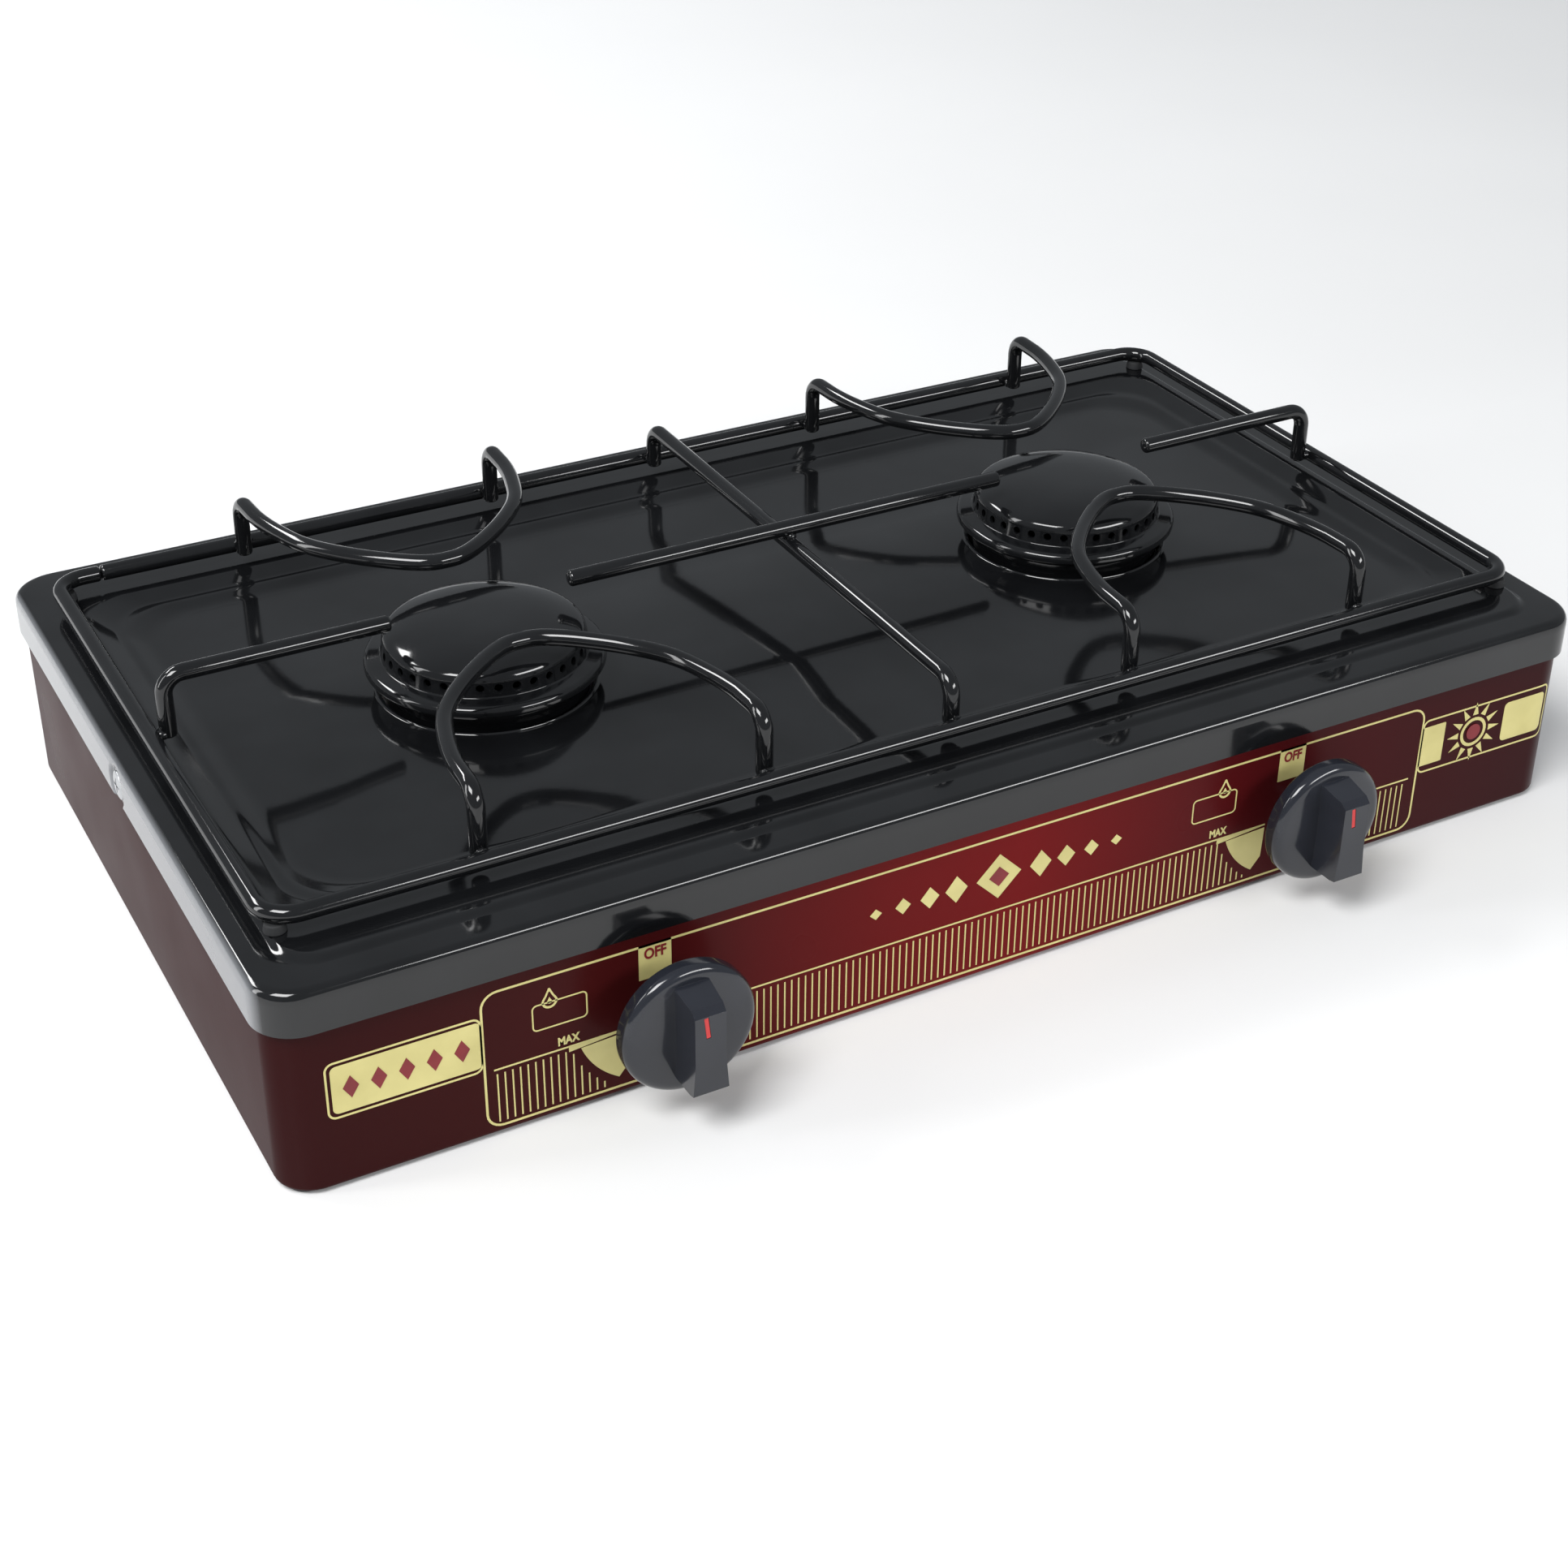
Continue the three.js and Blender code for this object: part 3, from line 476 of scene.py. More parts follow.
STEEL = plain_look(
    "zinc steel", (0.58, 0.59, 0.6, 1), (0.4, 0.41, 0.42, 1), (0.25, 0.42), metallic=1.0, stretch=(1, 1, 4))
ALUMINIUM = plain_look(
    "aluminium", (0.66, 0.67, 0.68, 1), (0.5, 0.51, 0.52, 1), (0.3, 0.45), metallic=1.0, stretch=(4, 1, 1))
BY_SLOT = {
    "black_enamel": ENAMEL, "maroon_paint": PAINT, "knob_plastic": KNOB_PLASTIC, "red_pointer": POINTER_RED,
    "rubber": RUBBER, "brass": BRASS, "aluminium": ALUMINIUM, "zinc_steel": STEEL,
}

# Every CAD node that stays takes the detailed material of its slot.
for part in frame["record"]["subparts"]:
    slots = frame["nodes"][part["node"]].material_slots
    for material_slot in slots:
        material_slot.material = BY_SLOT[part["material_slot"]]


# ---- Hob plate ---------------------------------------------------------------------------------
DIMPLE_FLAT, DIMPLE_EDGE, DIMPLE_DEPTH = 6.3, 8.2, 1.1
# Radius, and height over the floor of the hob, along both skins of the low edge at each burner hole.
COLLAR = [(40.6, 0), (40, 0.1), (39.5, 0.4), (39.3, 0.9)]
COLLAR_UNDER = [(40.6, -1), (39.7, -0.9), (38.8, -0.4), (38.4, 0.6)]


def dimpled(ring):
    """Presses the round hollow of the side screws into the skirt."""
    pressed = []
    for x, y, z in ring:
        if abs(x) > HOB_X - 3:
            away = hypot(y - SCREW_Y, z - SCREW_Z)
            share = min(max((DIMPLE_EDGE - away) / (DIMPLE_EDGE - DIMPLE_FLAT), 0), 1)
            x -= (1 if x > 0 else -1) * DIMPLE_DEPTH * share * share * (3 - 2 * share)
        pressed.append((x, y, z))
    return pressed


def hob_skin(stations, collar, face_up):
    """One skin of the hob sheet: its points, its faces and the rings at its outer and burner edges."""
    screw_points = [SCREW_Y - 10 + 0.8 * k for k in range(26)]
    rings = [dimpled(rounded_ring(x, y, r, z, extra_y=screw_points)) for x, y, r, z in stations]
    sides = len(rings[0])
    points = [p for ring in rings for p in ring]
    faces = loft_faces(len(rings), sides)
    indices = list(range(len(points) - sides, len(points)))
    loops = [[Vector(points[i]) for i in indices]]
    edges = [list(range(sides))]
    segments = 96
    angles = [2 * pi * k / segments for k in range(segments)]
    for side, _ in SIDES:
        first = len(points)
        for radius, rise in collar:
            z = FLOOR_TOP + rise
            points += [(side * BURNER_X + radius * cos(a), BURNER_Y + radius * sin(a), z) for a in angles]
        faces += loft_faces(len(collar), segments, first)
        loops.append([Vector(points[first + k]) for k in range(segments)])
        indices += range(first, first + segments)
        edges.append(list(range(len(points) - segments, len(points))))
    for triangle in tessellate_polygon(loops):
        corners = [indices[i] for i in triangle]
        a, b, c = (Vector(points[i]) for i in corners)
        faces.append(corners if (b - a).cross(c - a).z > 0 else corners[::-1])
    if not face_up:
        faces = [face[::-1] for face in faces]
    return points, faces, edges


def hob_plate():
    """The pressed hob sheet as one closed body: skirt, raised rim, stepped slope and well."""
    skirt = [((HOB_X, HOB_Y, 15, SKIRT_BOTTOM + 0.8 * k), 0) for k in range(15)]
    stations = soften(skirt + [
        ((HOB_X, HOB_Y, 15, RIM_OUTER), 4.5),
        ((245.2, 137.7, 13, RIM_OUTER), 1.3),
        ((243.3, 135.8, 13, RIM_TOP), 1.3),
        ((239, 116.5, 15, RIM_TOP), 2.4),
        ((231.5, 109, 19, FLOOR_TOP + 1.9), 1.6),
        ((228.5, 106, 21, FLOOR_TOP + 1.7), 1.6),
        ((222.5, 100.5, 23, FLOOR_TOP), 3.5),
        ((214, 92, 24, FLOOR_TOP), 0),
    ], steps=7)
    points, faces, edges = hob_skin(stations, COLLAR, True)
    under_points, under_faces, under_edges = hob_skin(inner_stations(stations, SHEET), COLLAR_UNDER, False)
    first = len(points)
    faces += [[first + i for i in face] for face in under_faces]
    for number, (edge, under) in enumerate(zip(edges, under_edges)):
        under = [first + i for i in under]
        faces += seam_faces(edge, under) if number == 0 else seam_faces(under, edge)
    mesh = mesh_of("hob", points + under_points, faces, crease=50)
    return piece("hob_enamel", mesh, ENAMEL, "stove", ["hob_plate"])


# ---- Casing ------------------------------------------------------------------------------------
def casing():
    """Wrap of sheet with a bottom flange, a back window and holes for stems, screws and feet."""
    stations = soften([
        ((CASE_X - FLANGE, CASE_Y - FLANGE, 3, CASE_LOW), 0),
        ((CASE_X, CASE_Y, CASE_CORNER, CASE_LOW), 1.6),
        ((CASE_X, CASE_Y, CASE_CORNER, CASE_HIGH), 0),
    ], steps=6)
    skins = [[rounded_ring(*s) for s in stack] for stack in (stations, inner_stations(stations, SHEET))]
    sides, levels = len(skins[0][0]), len(stations)
    points = [p for skin in skins for ring in skin for p in ring]
    first = sides * levels
    faces = loft_faces(levels, sides) + [face[::-1] for face in loft_faces(levels, sides, first)]
    low, high = list(range(sides)), list(range(first - sides, first))
    faces += seam_faces(low, [first + i for i in low])
    faces += seam_faces([first + i for i in high], high)
    shell = mesh_of("casing", points, faces, crease=50)

    def hole(radius, at, axis):
        """Cutter for a round hole."""
        cutter = lathe("hole", [(0, -4), (radius, -4), (radius, 4), (0, 4)], 32, axis)
        if axis == "Y":
            cutter.flip_normals()
        cutter.transform(Matrix.Translation(Vector(at) * MM))
        return cutter

    window_low = (-WINDOW["x"], CASE_Y - 3, WINDOW["low"])
    window_high = (WINDOW["x"], CASE_Y + 3, WINDOW["high"])
    tools = [block_mesh("window", window_low, window_high)]
    for side, _ in SIDES:
        tools.append(hole(STEM_HOLE, (side * KNOB_X, -CASE_Y, KNOB_Z), "Y"))
        tools += [hole(BACK_SCREW_HOLE, (side * BACK_SCREW_X, CASE_Y, z), "Y") for z in BACK_SCREW_Z]
        tools += [hole(FOOT_HOLE, (side * FOOT_X, end * FOOT_Y, CASE_LOW), "Z") for end, _ in ENDS]
    mesh = combined("casing", shell, tools, crease=50)
    return piece("casing_paint", mesh, PAINT, "stove", ["casing_wrap"])


# ---- Printed lines on the front ----------------------------------------------------------------
PRINT_THICKNESS = 0.12
PRINT_LOW, PRINT_HIGH = 3.8, 56.8
PRINT_MID = 26.5
PRINT_LEFT, PRINT_RIGHT = -189.5, 186
LINE = 0.8
# left and right ends of the pieces of the middle line and of the hatches under it
MIDDLE_BARS = ((-186, -139), (-98, 115), (156, 182))
HATCHES = ((-185, -142), (-101, 113), (153.5, 182))
HATCH_PITCH, HATCH_LINE = 2.6, 0.5
# left end, right end and flame of the icon beside each knob
ICONS = ((-172.5, -153.5, -166.3), (81, 100.5, 94.8))
ICON_LOW, ICON_HIGH = 36.3, 46.5
ORNAMENT_Z = 40.5
ROSETTE_X, ROSETTE_Z = 211.5, 38.8
SCALE_RADIUS, SCALE_CLEAR = 31, 34
TAB_LOW = 43.5
WORD_HEIGHTS = {"OFF": 3.9, "MAX": 3.0}


def front_y(x):
    """Where the front wall of the casing is, with its round corners."""
    over = max(abs(x) - (CASE_X - CASE_CORNER), 0)
    return -(CASE_Y - CASE_CORNER + sqrt(CASE_CORNER ** 2 - over ** 2))


def rounded_rectangle(x0, x1, z0, z1, radius):
    corners = ((x1, z1, -1, -1), (x0, z1, 1, -1), (x0, z0, 1, 1), (x1, z0, -1, 1))
    outline = []
    steps = 6
    for quarter, (x, z, sign_x, sign_z) in enumerate(corners):
        for k in range(steps + 1):
            angle = pi / 2 * (quarter + k / steps)
            outline.append((
                x + sign_x * radius + radius * cos(angle),
                z + sign_z * radius + radius * sin(angle),
            ))
    return outline


def outline_shape(x0, x1, z0, z1, radius, width=LINE):
    """A rounded rectangle drawn as a line."""
    inner = rounded_rectangle(x0 + width, x1 - width, z0 + width, z1 - width, max(radius - width, 0.2))
    return [rounded_rectangle(x0, x1, z0, z1, radius), inner]


def bar(x0, x1, z0, z1):
    return [[(x0, z0), (x1, z0), (x1, z1), (x0, z1)]]


def disc(x, z, radius):
    angles = [2 * pi * k / 24 for k in range(24)]
    return [(x + radius * cos(a), z + radius * sin(a)) for a in angles]


def diamond(x, z, half_x, half_z):
    return [[(x - half_x, z), (x, z - half_z), (x + half_x, z), (x, z + half_z)]]


def drop(x, z, size):
    """Outline of a flame: round below, with a point on top."""
    outline = []
    steps = 18
    for k in range(steps):
        angle = 2 * pi * k / steps
        rise = max(sin(angle), 0)
        across = size * 0.95 * cos(angle) * (1 - 0.35 * rise)
        along = size * (1 + 0.75 * rise ** 6) * sin(angle)
        outline.append((x + across, z + along))
    return outline


def anticlockwise(outline):
    """Whether a closed outline of point pairs runs anticlockwise."""
    area = 0
    for (a, b), (c, d) in zip(outline, outline[1:] + outline[:1]):
        area += a * d - c * b
    return area > 0


def printed(name, shapes, material, lift=0.03):
    """Thin raised print on the front wall. A shape is [outline, hole, ...] of (x, z) pairs."""
    points, faces = [], []
    for shape in shapes:
        loops = [[Vector((x, z, 0)) for x, z in loop] for loop in shape]
        flat = [pair for loop in shape for pair in loop]
        first = len(points)
        count = len(flat)
        for thickness in (lift + PRINT_THICKNESS, lift):
            points += [(x, -thickness, z) for x, z in flat]
        for triangle in tessellate_polygon(loops):
            (ax, az), (bx, bz), (cx, cz) = (flat[i] for i in triangle)
            if (bx - ax) * (cz - az) - (cx - ax) * (bz - az) < 0:
                triangle = triangle[::-1]
            faces.append([first + i for i in triangle])
            faces.append([first + count + i for i in triangle[::-1]])
        start = first
        for number, loop in enumerate(shape):
            size = len(loop)
            forward = anticlockwise(loop) != (number > 0)
            for i in range(size):
                j = (i + 1) % size
                side = [start + i, start + i + count, start + j + count, start + j]
                faces.append(side if forward else side[::-1])
            start += size
    mesh = mesh_of(name, points, faces)
    wrap_on_front(mesh)
    return piece(name, mesh, material, "stove")


def wrap_on_front(mesh):
    """Cuts flat print across the round corners of the casing and lays it on the front wall."""
    work = bmesh.new()
    work.from_mesh(mesh)
    bmesh.ops.remove_doubles(work, verts=work.verts, dist=0.00001)
    for side, _ in SIDES:
        for k in range(8):
            cut_x = side * (CASE_X - CASE_CORNER + 1.5 * k) * MM
            parts = [*work.verts, *work.edges, *work.faces]
            bmesh.ops.bisect_plane(work, geom=parts, plane_co=(cut_x, 0, 0), plane_no=(1, 0, 0))
    for vertex in work.verts:
        vertex.co.y += front_y(vertex.co.x / MM) * MM
    work.to_mesh(mesh)
    work.free()
    mesh.set_sharp_from_angle(angle=radians(40))


def printed_word(name, word, middle, material, lift=0.03):
    """A generic control word, centred at an (x, z) place on the front wall."""
    curve = bpy.data.curves.new(name, "FONT")
    curve.body = word
    curve.size = WORD_HEIGHTS[word] * MM / 0.7
    curve.align_x = "CENTER"
    curve.align_y = "CENTER"
    curve.offset = 0.00016
    curve.extrude = PRINT_THICKNESS * MM / 2
    curve.resolution_u = 4
    obj = bpy.data.objects.new(name, curve)
    bpy.context.scene.collection.objects.link(obj)
    bpy.context.view_layer.update()
    mesh = bpy.data.meshes.new_from_object(obj.evaluated_get(bpy.context.evaluated_depsgraph_get()))
    bpy.data.objects.remove(obj)
    work = bmesh.new()
    work.from_mesh(mesh)
    bmesh.ops.remove_doubles(work, verts=work.verts, dist=0.000002)
    work.to_mesh(mesh)
    work.free()
    mesh.transform(Matrix.Scale(0.8, 4, (1, 0, 0)))
    mesh.materials.clear()
    at = (middle[0], -CASE_Y - lift - PRINT_THICKNESS / 2, middle[1])
    return piece(name, mesh, material, "stove", at=at, turn=(pi / 2, 0, 0))


def hatch(x0, x1):
    """Upright lines between the middle and the bottom line, cut short round the scale of the next knob."""
    shapes = []
    for k in range(int((x1 - x0) / HATCH_PITCH) + 1):
        x = x0 + k * HATCH_PITCH
        top = PRINT_MID - 1.8
        for side, _ in SIDES:
            across = side * KNOB_X - x
            if 0 < across < SCALE_CLEAR:
                top = min(top, KNOB_Z - sqrt(SCALE_CLEAR ** 2 - across ** 2))
        if top > PRINT_LOW + 2.6:
            shapes.append(bar(x - HATCH_LINE / 2, x + HATCH_LINE / 2, PRINT_LOW + 2, top))
    return shapes


def scale_wedge(x):
    """Filled sector of the scale beside a knob and the taper that leads to it from the MAX mark."""
    arc = [radians(angle) for angle in range(109, 151, 3)]
    outline = [(x - SCALE_RADIUS * sin(a), KNOB_Z + SCALE_RADIUS * cos(a)) for a in arc]
    outline += [(x - 12.5, 13), (x - 12, 25.2)]
    taper = [(x - 33.5, PRINT_MID - 0.2), (x - 33.5, PRINT_MID - 2.1), (x - 14, PRINT_MID - 0.4)]
    return [[outline], [taper]]


def burner_icon(x0, x1, flame_x):
    """Outline of the hob with a flame at the burner that the knob serves."""
    shapes = [outline_shape(x0, x1, ICON_LOW, ICON_HIGH, 1.8, 0.5)]
    shapes.append([drop(flame_x, ICON_HIGH + 0.3, 2.9), drop(flame_x, ICON_HIGH + 0.3, 2.1)])
    shapes.append([drop(flame_x, ICON_HIGH + 0.1, 0.9)])
    return shapes


def rosette(x, z):
    """Generic sun of twelve short rays about a ring."""
    shapes = [[disc(x, z, 6.2), disc(x, z, 4.9)]]
    for k in range(12):
        angle = 2 * pi * k / 12
        ahead, aside = (cos(angle), sin(angle)), (-sin(angle), cos(angle))
        ray = [(7.4, -1.3), (12.6, 0), (7.4, 1.3)]
        corners = [(x + r * ahead[0] + s * aside[0], z + r * ahead[1] + s * aside[1]) for r, s in ray]
        shapes.append([corners])
    return shapes


def front_print():
    """Gold lines, scales and ornaments on the front, with red marks on top of them."""
    gold = [outline_shape(PRINT_LEFT, PRINT_RIGHT, PRINT_LOW, PRINT_HIGH, 6)]
    for x0, x1 in MIDDLE_BARS:
        gold.append(bar(x0, x1, PRINT_MID - 0.3, PRINT_MID + 0.3))
    for x0, x1 in HATCHES:
        gold += hatch(x0, x1)
    for side, _ in SIDES:
        gold += scale_wedge(side * KNOB_X)
        gold.append(bar(side * KNOB_X - 8.5, side * KNOB_X + 3, TAB_LOW, PRINT_HIGH))
    for x0, x1, flame_x in ICONS:
        gold += burner_icon(x0, x1, flame_x)
    # plain plate at the left, plain band with a rosette at the right, ornament in the middle
    gold.append(outline_shape(-240, PRINT_LEFT + 0.2, 27.2, 48.6, 3, 0.7))
    gold.append([rounded_rectangle(-238.2, PRINT_LEFT, 29, 46.8, 2)])
    gold.append(outline_shape(PRINT_RIGHT - 0.2, 248, 27.2, 50.3, 3, 0.7))
    gold.append([rounded_rectangle(PRINT_RIGHT, 197, 30.4, 47.1, 0.5)])
    gold.append([rounded_rectangle(226, 246, 30.4, 47.1, 2)])
    gold += rosette(ROSETTE_X, ROSETTE_Z)
    gold.append(diamond(0, ORNAMENT_Z, 9, 9))
    for side, _ in SIDES:
        for k in range(4):
            gold.append(diamond(side * (17 + 10.5 * k), ORNAMENT_Z, 4.4 - 0.7 * k, 5.4 - 1.1 * k))
    printed("print_gold", gold, GOLD_PRINT)
    red = [diamond(-214 + 9 * k, 37.9, 2.6, 4.2) for k in range(-2, 3)]
    red += [diamond(0, ORNAMENT_Z, 4, 4), [disc(ROSETTE_X, ROSETTE_Z, 3.3)]]
    printed("print_red", red, RED_PRINT, lift=0.17)
    for side, hand in SIDES:
        off_at = (side * KNOB_X - 2.7, 53)
        max_at = (side * KNOB_X - 33.5, 29.4)
        printed_word(f"word_off_{hand}", "OFF", off_at, RED_PRINT, lift=0.17)
        printed_word(f"word_max_{hand}", "MAX", max_at, GOLD_PRINT)


# ---- Grate -------------------------------------------------------------------------------------
def bow_path(side, end):
    """Route of a bent pot support from one foot up, round its burner and down to the other foot."""
    across = BOW_HALF + [(-x, y) for x, y in BOW_HALF[-2::-1]]
    curve = spline([(side * BURNER_X + x, GRATE_MID_Y + end * y, SUPPORT_Z) for x, y in across])
    first, last = curve[0], curve[-1]
    inner = [(p, 0) for p in curve if min((p - first).length, (p - last).length) > 2 * LEG_BEND]
    feet = [Vector((p.x, p.y, LEG_FOOT_Z)) for p in (first, last)]
    return bent_path([(feet[0], 0), (first, LEG_BEND), *inner, (last, LEG_BEND), (feet[1], 0)])


def weld(name, at, seed):
    """Small uneven bead where two wires are welded."""
    points = []
    levels, sides = 7, 12
    for level in range(levels):
        tilt = pi * level / (levels - 1) - pi / 2
        for k in range(sides):
            angle = 2 * pi * k / sides
            swell = 1 + 0.16 * sin(3 * angle + seed) + 0.1 * cos(2 * tilt + seed * 1.7)
            reach = WELD_REACH * swell * max(cos(tilt), 0.02)
            rise = WELD_RISE * swell * sin(tilt)
            points.append((at[0] + reach * cos(angle), at[1] + reach * sin(angle), at[2] + rise))
    faces = loft_faces(levels, sides)
    faces += [list(range(sides))[::-1], list(range((levels - 1) * sides, levels * sides))]
    piece(name, mesh_of(name, points, faces, crease=80), ENAMEL, "grate")


def grate():
    """The lift-off grate: frame wire, centre bar, cross rod, fingers, bows and weld beads."""
    def wire(name, path, node):
        piece(name, tube(name, path, WIRE), ENAMEL, "grate", [node])

    x, front, back = GRATE_X, GRATE_MID_Y - GRATE_Y, GRATE_MID_Y + GRATE_Y
    seam = -x + GRATE_CORNER + 6
    corners = [(-x, back), (-x, front), (x, front), (x, back)]
    loop = [((seam, back, FRAME_Z), 0)]
    loop += [((a, b, FRAME_Z), GRATE_CORNER) for a, b in corners]
    loop.append(((seam + 0.3, back, FRAME_Z), 0))
    wire("wire_frame", bent_path(loop, steps=14), "grate_frame")

    bar_z = SUPPORT_Z - WELD_PITCH
    near, far = GRATE_MID_Y - LEG_Y, GRATE_MID_Y + LEG_Y
    route = [
        ((CENTRE_BAR_X, near, LEG_FOOT_Z), 0),
        ((CENTRE_BAR_X, near, bar_z), LEG_BEND),
        ((CENTRE_BAR_X, far, bar_z), LEG_BEND),
        ((CENTRE_BAR_X, far, LEG_FOOT_Z), 0),
    ]
    wire("wire_centre", bent_path(route), "centre_bar")
    rod = [Vector((side * ROD_TIP, GRATE_MID_Y, SUPPORT_Z)) for side, _ in SIDES]
    wire("wire_cross", rod, "cross_rod")
    weld_y = LEG_Y + WELD_PITCH / 2
    spots = [(CENTRE_BAR_X, GRATE_MID_Y, SUPPORT_Z - WELD_PITCH / 2)]
    spots += [(CENTRE_BAR_X, GRATE_MID_Y + end * weld_y, FRAME_Z) for end, _ in ENDS]
    for side, hand in SIDES:
        leg_x = side * (GRATE_X - WELD_PITCH)
        tip_x = side * FINGER_TIP
        route = [((leg_x, 0, LEG_FOOT_Z), 0), ((leg_x, 0, SUPPORT_Z), LEG_BEND), ((tip_x, 0, SUPPORT_Z), 0)]
        wire(f"wire_finger_{hand}", bent_path(route), f"pot_finger_{hand}")
        spots.append((side * (GRATE_X - WELD_PITCH / 2), 0, FRAME_Z))
        for end, row in ENDS:
            wire(f"wire_bow_{row}_{hand}", bow_path(side, end), f"pot_bow_{row}_{hand}")
            for foot in (-BOW_HALF[0][0], BOW_HALF[0][0]):
                spots.append((side * BURNER_X + foot, GRATE_MID_Y + end * weld_y, FRAME_Z))
    for number, spot in enumerate(spots):
        weld(f"weld_{number}", spot, number * 1.3)


# ---- Burners -----------------------------------------------------------------------------------
def burner_top_mesh():
    """Domed cap with a band of round ports and one rolled lip over the edge of the bowl."""
    outer = soften([
        ((0, 101.5), 0), ((14, 101.2), 6), ((26, 99.8), 6), ((34.6, 97), 3), ((36.1, 95), 1.5),
        ((37, 88.3), 0.5), ((42, 87.4), 0.9), ((43, 86.2), 0.9), ((43, 84), 0.5), ((42, 83.5), 0.3),
        ((41.8, 84), 0),
    ], steps=5)
    inner = [(41.8, 85.9), (36.2, 87.1), (35, 94.6), (33.6, 96.4), (25.6, 98.9), (0, 100.6)]
    shell = lathe("burner_top", (outer + inner)[::-1], segments=4 * PORT_COUNT)
    points, faces = [], []
    for k in range(PORT_COUNT):
        port = lathe("port", [(0, 31), (1.5, 31), (1.5, 39.5), (0, 39.5)], segments=16, axis="Y")
        turn = Matrix.Rotation(2 * pi * (k + 0.5) / PORT_COUNT, 4, "Z")
        port.transform(turn @ Matrix.Translation((0, 0, PORT_Z * MM)))
        first = len(points)
        points += [v.co / MM for v in port.vertices]
        faces += [[first + i for i in p.vertices] for p in port.polygons]
    return combined("burner_top", shell, [mesh_of("ports", points, faces)])


def burner_bowl_mesh():
    """Thin bowl under the cap, open at its neck."""
    outer = soften([
        ((8.4, BOWL_BOTTOM), 0), ((28, BOWL_BOTTOM), 3), ((35.6, 65.5), 4), ((37.6, 78), 5),
        ((41.4, 84.4), 1.2), ((41.4, 85.4), 0),
    ])
    inner = soften([
        ((41.4, 85.4), 0), ((40.4, 85.4), 0), ((36.7, 78.3), 4), ((34.8, 66), 4),
        ((27.6, BOWL_BOTTOM + 0.9), 3), ((8.4, BOWL_BOTTOM + 0.9), 0),
    ])
    return lathe("burner_bowl", outer + inner[1:] + [outer[0]])


def burners():
    top, bowl = burner_top_mesh(), burner_bowl_mesh()
    for side, hand in SIDES:
        at = (side * BURNER_X, BURNER_Y, 0)
        piece(f"burner_cap_{hand}", top, ENAMEL, "stove", [f"burner_top_{hand}"], at)
        piece(f"burner_pan_{hand}", bowl, ENAMEL, "stove", [f"burner_bowl_{hand}"], at)


# ---- Knobs -------------------------------------------------------------------------------------
GRIP_ROOT = KNOB_BACK - 5.5
POINTER_LOW, POINTER_HIGH, POINTER_TILT = 6.6, 14.4, 6


def grip_mesh():
    """Upright grip bar, narrower towards its front, with a flare at the foot of each side."""
    # half width and height of the top edge, of the start of the flare and of the foot, at three depths
    sections = [
        (GRIP_ROOT, (6.2, 19), (6.2, -13.4), (6.3, -15.9)),
        (KNOB_FRONT + 2.4, (5.5, 16.9), (5.5, -5.6), (6.4, -15.4)),
        (KNOB_FRONT, (5.4, 14.8), (5.4, -3.6), (6.3, -14.9)),
    ]
    points = []
    for y, *corners in sections:
        points += [(half, y, z) for half, z in corners]
        points += [(-half, y, z) for half, z in reversed(corners)]
    count = 2 * 3
    faces = [face[::-1] for face in loft_faces(len(sections), count)]
    faces += [list(range(count)), list(range(2 * count, 3 * count))[::-1]]
    return mesh_of("grip", points, faces)


def pointer_mesh(margin):
    """Tilted pointer line in the front of the grip, grown by a margin for its pocket."""
    low = (-0.7 - margin, KNOB_FRONT + 0.12 - (1.5 if margin else 0), POINTER_LOW - margin)
    high = (0.7 + margin, KNOB_FRONT + 1.2 + margin, POINTER_HIGH + margin)
    mesh = block_mesh("pointer", low, high)
    mesh.transform(Matrix.Rotation(radians(-POINTER_TILT), 4, "Y"))
    return mesh


def knob_mesh():
    """Hollow disc with a rolled edge, a grip bar on its face and a bored boss behind."""
    back = KNOB_BACK
    face = soften([
        ((0, back), 0), ((22.6, back), 0.4), ((KNOB_RADIUS, back - 0.9), 0.4),
        ((KNOB_RADIUS, back - 7), 3.9), ((12, back - 8), 5), ((0, back - 8.2), 0),
    ], steps=8)
    body = lathe("knob_disc", face, segments=128, axis="Y")
    hollow_profile = [(0, back + 3), (20.6, back + 3), (20.6, back - 4), (18, back - 5.6), (0, back - 5.8)]
    hollow = lathe("hollow", hollow_profile, 64, "Y")
    boss = lathe("boss", [(0, back + 4.4), (6, back + 4.4), (6, back - 7), (0, back - 7)], 32, "Y")
    bore_end = KNOB_FRONT + 11.7
    bore = lathe("bore", [(0, back + 6), (3.1, back + 6), (3.1, bore_end), (0, bore_end)], 32, "Y")
    shell = combined("knob", body, [hollow])
    shell = combined("knob", shell, [grip_mesh(), boss], "UNION")
    return combined("knob", shell, [pointer_mesh(0.12), bore], crease=28)


def knobs():
    mesh, pointer = knob_mesh(), pointer_mesh(0)
    for side, hand in SIDES:
        at = (side * KNOB_X, 0, KNOB_Z)
        rides_on = f"knob_{hand}"
        stands_for = [f"knob_{hand}"]
        knob = piece(f"knob_body_{hand}", mesh, KNOB_PLASTIC, rides_on, stands_for, at)
        edge = knob.modifiers.new("edge", "BEVEL")
        edge.width = 0.6 * MM
        edge.segments = 4
        edge.limit_method = "ANGLE"
        edge.angle_limit = radians(28)
        edge.harden_normals = False
        stands_for = [f"knob_pointer_{hand}"]
        piece(f"knob_line_{hand}", pointer, POINTER_RED, rides_on, stands_for, at)


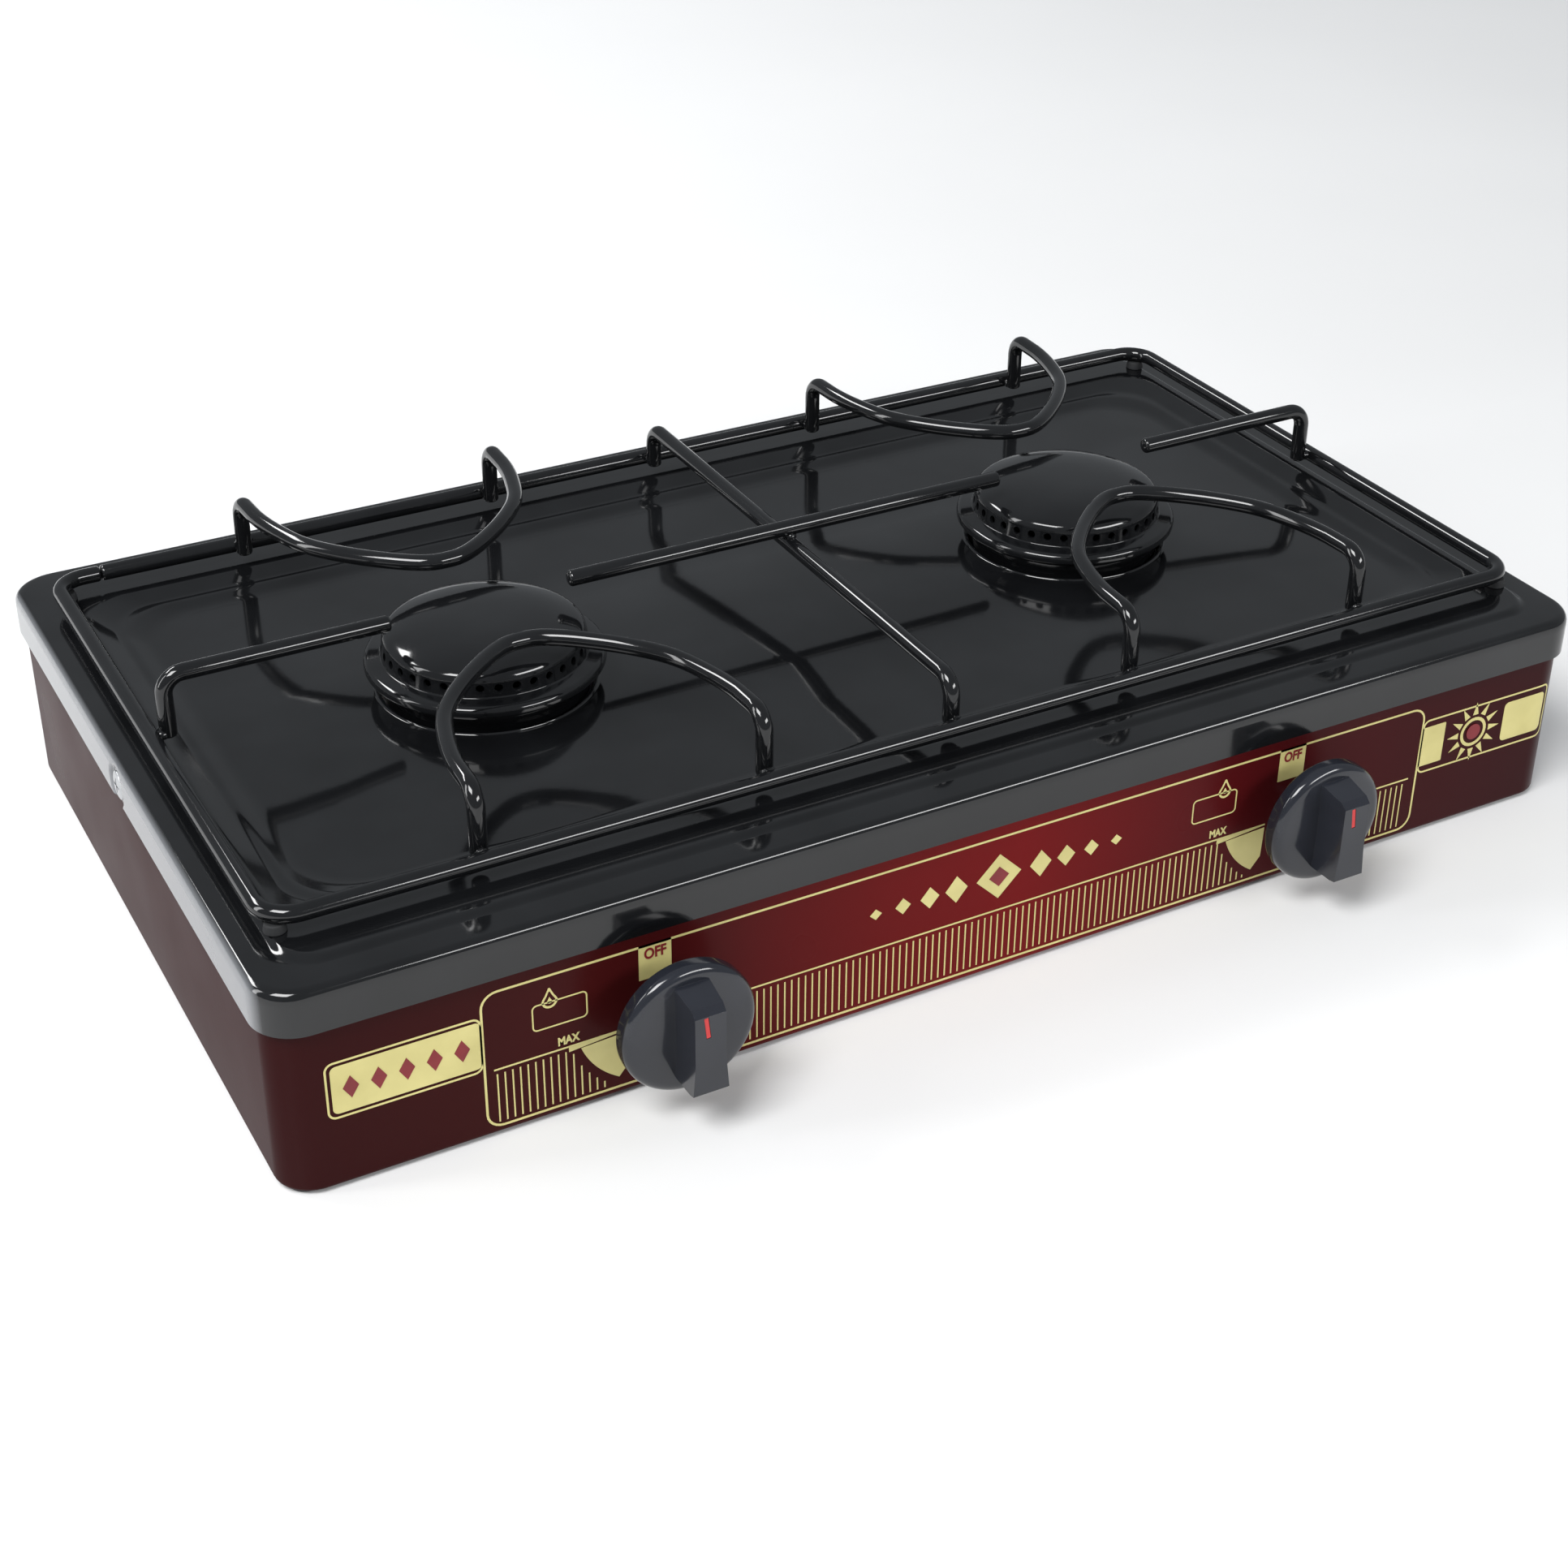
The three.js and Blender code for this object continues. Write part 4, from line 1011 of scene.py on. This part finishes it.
# ---- Screws, feet, buffers and nipple ----------------------------------------------------------
def screw_mesh(name, head, height, shank, length):
    """Pan-head screw along +Y from the outer face of its head, with a cross recess."""
    dome = soften([
        ((0, 0), 0), ((head * 0.75, 0.02), 0.9), ((head, height * 0.6), 0.3), ((head, height), 0),
    ])
    body = lathe(name, [*dome, (shank, height), (shank, length), (0, length)], 40, "Y")
    arm, depth, half = head * 0.55, height * 0.65, 0.45
    lying = block_mesh("arm", (-arm, -1, -half), (arm, depth, half))
    upright = block_mesh("arm", (-half, -1, -arm), (half, depth, arm))
    return combined(name, body, [lying, upright])


def small_parts():
    """Screws, feet and grate buffers, each in a left and a right row."""
    side_screw = screw_mesh("side_screw", 5.2, 0.9, 2, 7)
    back_screw = screw_mesh("back_screw", 4, 2, 1.9, 8)
    foot = lathe("foot", soften([
        ((0, 0), 0), ((6.6, 0), 0.6), ((6.6, 1.2), 0.3), ((3, 1.2), 0), ((3, 2.8), 0),
        ((4.8, 2.8), 0.4), ((3, 5.3), 0.6), ((0, 5.3), 0),
    ]), 48)
    buffer = lathe("buffer", soften([
        ((0, RIM_TOP), 0), ((3.8, RIM_TOP), 0.5), ((3.2, 83), 0.6), ((0, 83), 0),
    ]), 32)
    # the buffers sit under the middle of the grate's round corners
    inset = GRATE_CORNER * (1 - sqrt(0.5))

    def small(name, mesh, material, node, at, turn=None):
        piece(name, mesh, material, "stove", [node], at, turn)

    for side, hand in SIDES:
        at = (side * HOB_X, SCREW_Y, SCREW_Z)
        turn = (0, 0, -pi / 2 if side < 0 else pi / 2)
        small(f"screw_side_{hand}", side_screw, STEEL, f"side_screw_{hand}", at, turn)
        for z, level in zip(BACK_SCREW_Z, ("low", "high")):
            place = f"{level}_{hand}"
            at = (side * BACK_SCREW_X, CASE_Y + 2.2, z)
            turn = (0, 0, pi)
            small(f"screw_back_{place}", back_screw, STEEL, f"back_screw_{place}", at, turn)
        for end, row in ENDS:
            place = f"{row}_{hand}"
            at = (side * FOOT_X, end * FOOT_Y, 0)
            small(f"foot_pad_{place}", foot, RUBBER, f"foot_{place}", at)
            at = (side * (GRATE_X - inset), GRATE_MID_Y + end * (GRATE_Y - inset), 0)
            small(f"buffer_{place}", buffer, RUBBER, f"grate_buffer_{place}", at)


NIPPLE_X, NIPPLE_Z = 190, 18
RIDGE_PITCH = 6.5


def nipple():
    """Hose nipple with rounded ridges, through the back panel."""
    low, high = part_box("hose_nipple")
    start, end = low.y / MM, high.y / MM
    seat = start + 8.5
    outline = [
        ((2.6, start), 0), ((6.6, start), 0.5), ((6.6, seat), 0), ((9, seat), 0.5),
        ((9, seat + 5), 0.6), ((5.2, seat + 6), 0.4),
    ]
    ridge = seat + 9
    while ridge + RIDGE_PITCH < end + 0.1:
        outline += [((5.9, ridge), 0.5), ((4.7, ridge + 5.7), 0.5)]
        ridge += RIDGE_PITCH
    outline += [((4.4, end), 0.3), ((2.6, end), 0), ((2.6, start), 0)]
    mesh = lathe("nipple", soften(outline, 3), 48, "Y")
    at = (NIPPLE_X, 0, NIPPLE_Z)
    piece("nipple_brass", mesh, BRASS, "stove", ["hose_nipple"], at)


hob_plate()
casing()
front_print()
grate()
burners()
knobs()
small_parts()
nipple()

# ---- Floor, camera and light -------------------------------------------------------------------
CAMERA_AT = (-0.40657, -0.74099, 0.52849)
CAMERA_TURN, CAMERA_DROP, CAMERA_ROLL = -29.546, 30.313, 0.943
CAMERA_LENS = 58.26
CAMERA_SHIFT = (-0.0244, -0.0547)


def stage():
    """A wide pale floor, palest behind the stove."""
    floor_look = Look("pale floor")
    behind = floor_look.spread(floor_look.axis("Y"), 0, 1, (0.2, 1.2))
    pale = floor_look.ramp(behind, [(0, (0.74, 0.74, 0.74, 1)), (1, (0.95, 0.95, 0.95, 1))])
    grain = floor_look.ramp(floor_look.noise(3), [(0.3, (0.97, 0.97, 0.97, 1)), (0.7, (1, 1, 1, 1))])
    floor_look.colour(floor_look.blend(pale, grain, 1.0, "MULTIPLY"))
    floor_look.shader.inputs["Roughness"].default_value = 0.9
    mesh = bpy.data.meshes.new("floor")
    mesh.from_pydata([(-6, -6, 0), (6, -6, 0), (6, 6, 0), (-6, 6, 0)], [], [(0, 1, 2, 3)])
    mesh.materials.append(floor_look.material)
    floor = bpy.data.objects.new("floor", mesh)
    bpy.context.scene.collection.objects.link(floor)


def camera():
    data = bpy.data.cameras.new("camera")
    data.lens = CAMERA_LENS
    data.sensor_width = 36
    data.shift_x, data.shift_y = CAMERA_SHIFT
    data.clip_start = 0.01
    obj = bpy.data.objects.new("camera", data)
    bpy.context.scene.collection.objects.link(obj)
    look = Matrix.Rotation(radians(CAMERA_TURN), 3, "Z") @ Matrix.Rotation(radians(90 - CAMERA_DROP), 3, "X")
    obj.rotation_euler = (look @ Matrix.Rotation(radians(CAMERA_ROLL), 3, "Z")).to_euler()
    obj.location = CAMERA_AT
    bpy.context.scene.camera = obj


def soft_box(name, at, target, width, height, power):
    data = bpy.data.lights.new(name, "AREA")
    data.shape = "RECTANGLE"
    data.size, data.size_y = width, height
    data.energy = power
    obj = bpy.data.objects.new(name, data)
    bpy.context.scene.collection.objects.link(obj)
    obj.location = at
    obj.rotation_euler = (Vector(target) - Vector(at)).to_track_quat("-Z", "Y").to_euler()


def studio():
    """Plain soft light: a dim sky and four soft boxes, in metres and watts."""
    world = bpy.data.worlds.new("studio")
    world.use_nodes = True
    world.node_tree.nodes["Background"].inputs["Color"].default_value = (0.9, 0.95, 1.0, 1)
    world.node_tree.nodes["Background"].inputs["Strength"].default_value = 0.32
    bpy.context.scene.world = world
    soft_box("key", (-1.2, -0.7, 1.9), (0, 0, 0), 1.1, 0.9, 48)
    soft_box("front", (0.9, -1.8, 1.1), (0.1, 0, 0), 1.4, 0.4, 24)
    soft_box("back", (-0.9, 1.3, 1.5), (0, 0.2, 0), 1.2, 0.3, 20)
    soft_box("left", (-1.6, 0.3, 0.7), (0, 0, 0), 0.3, 1.2, 8)
    view = bpy.context.scene.view_settings
    view.view_transform = "Standard"
    view.look = "None"


stage()
camera()
studio()
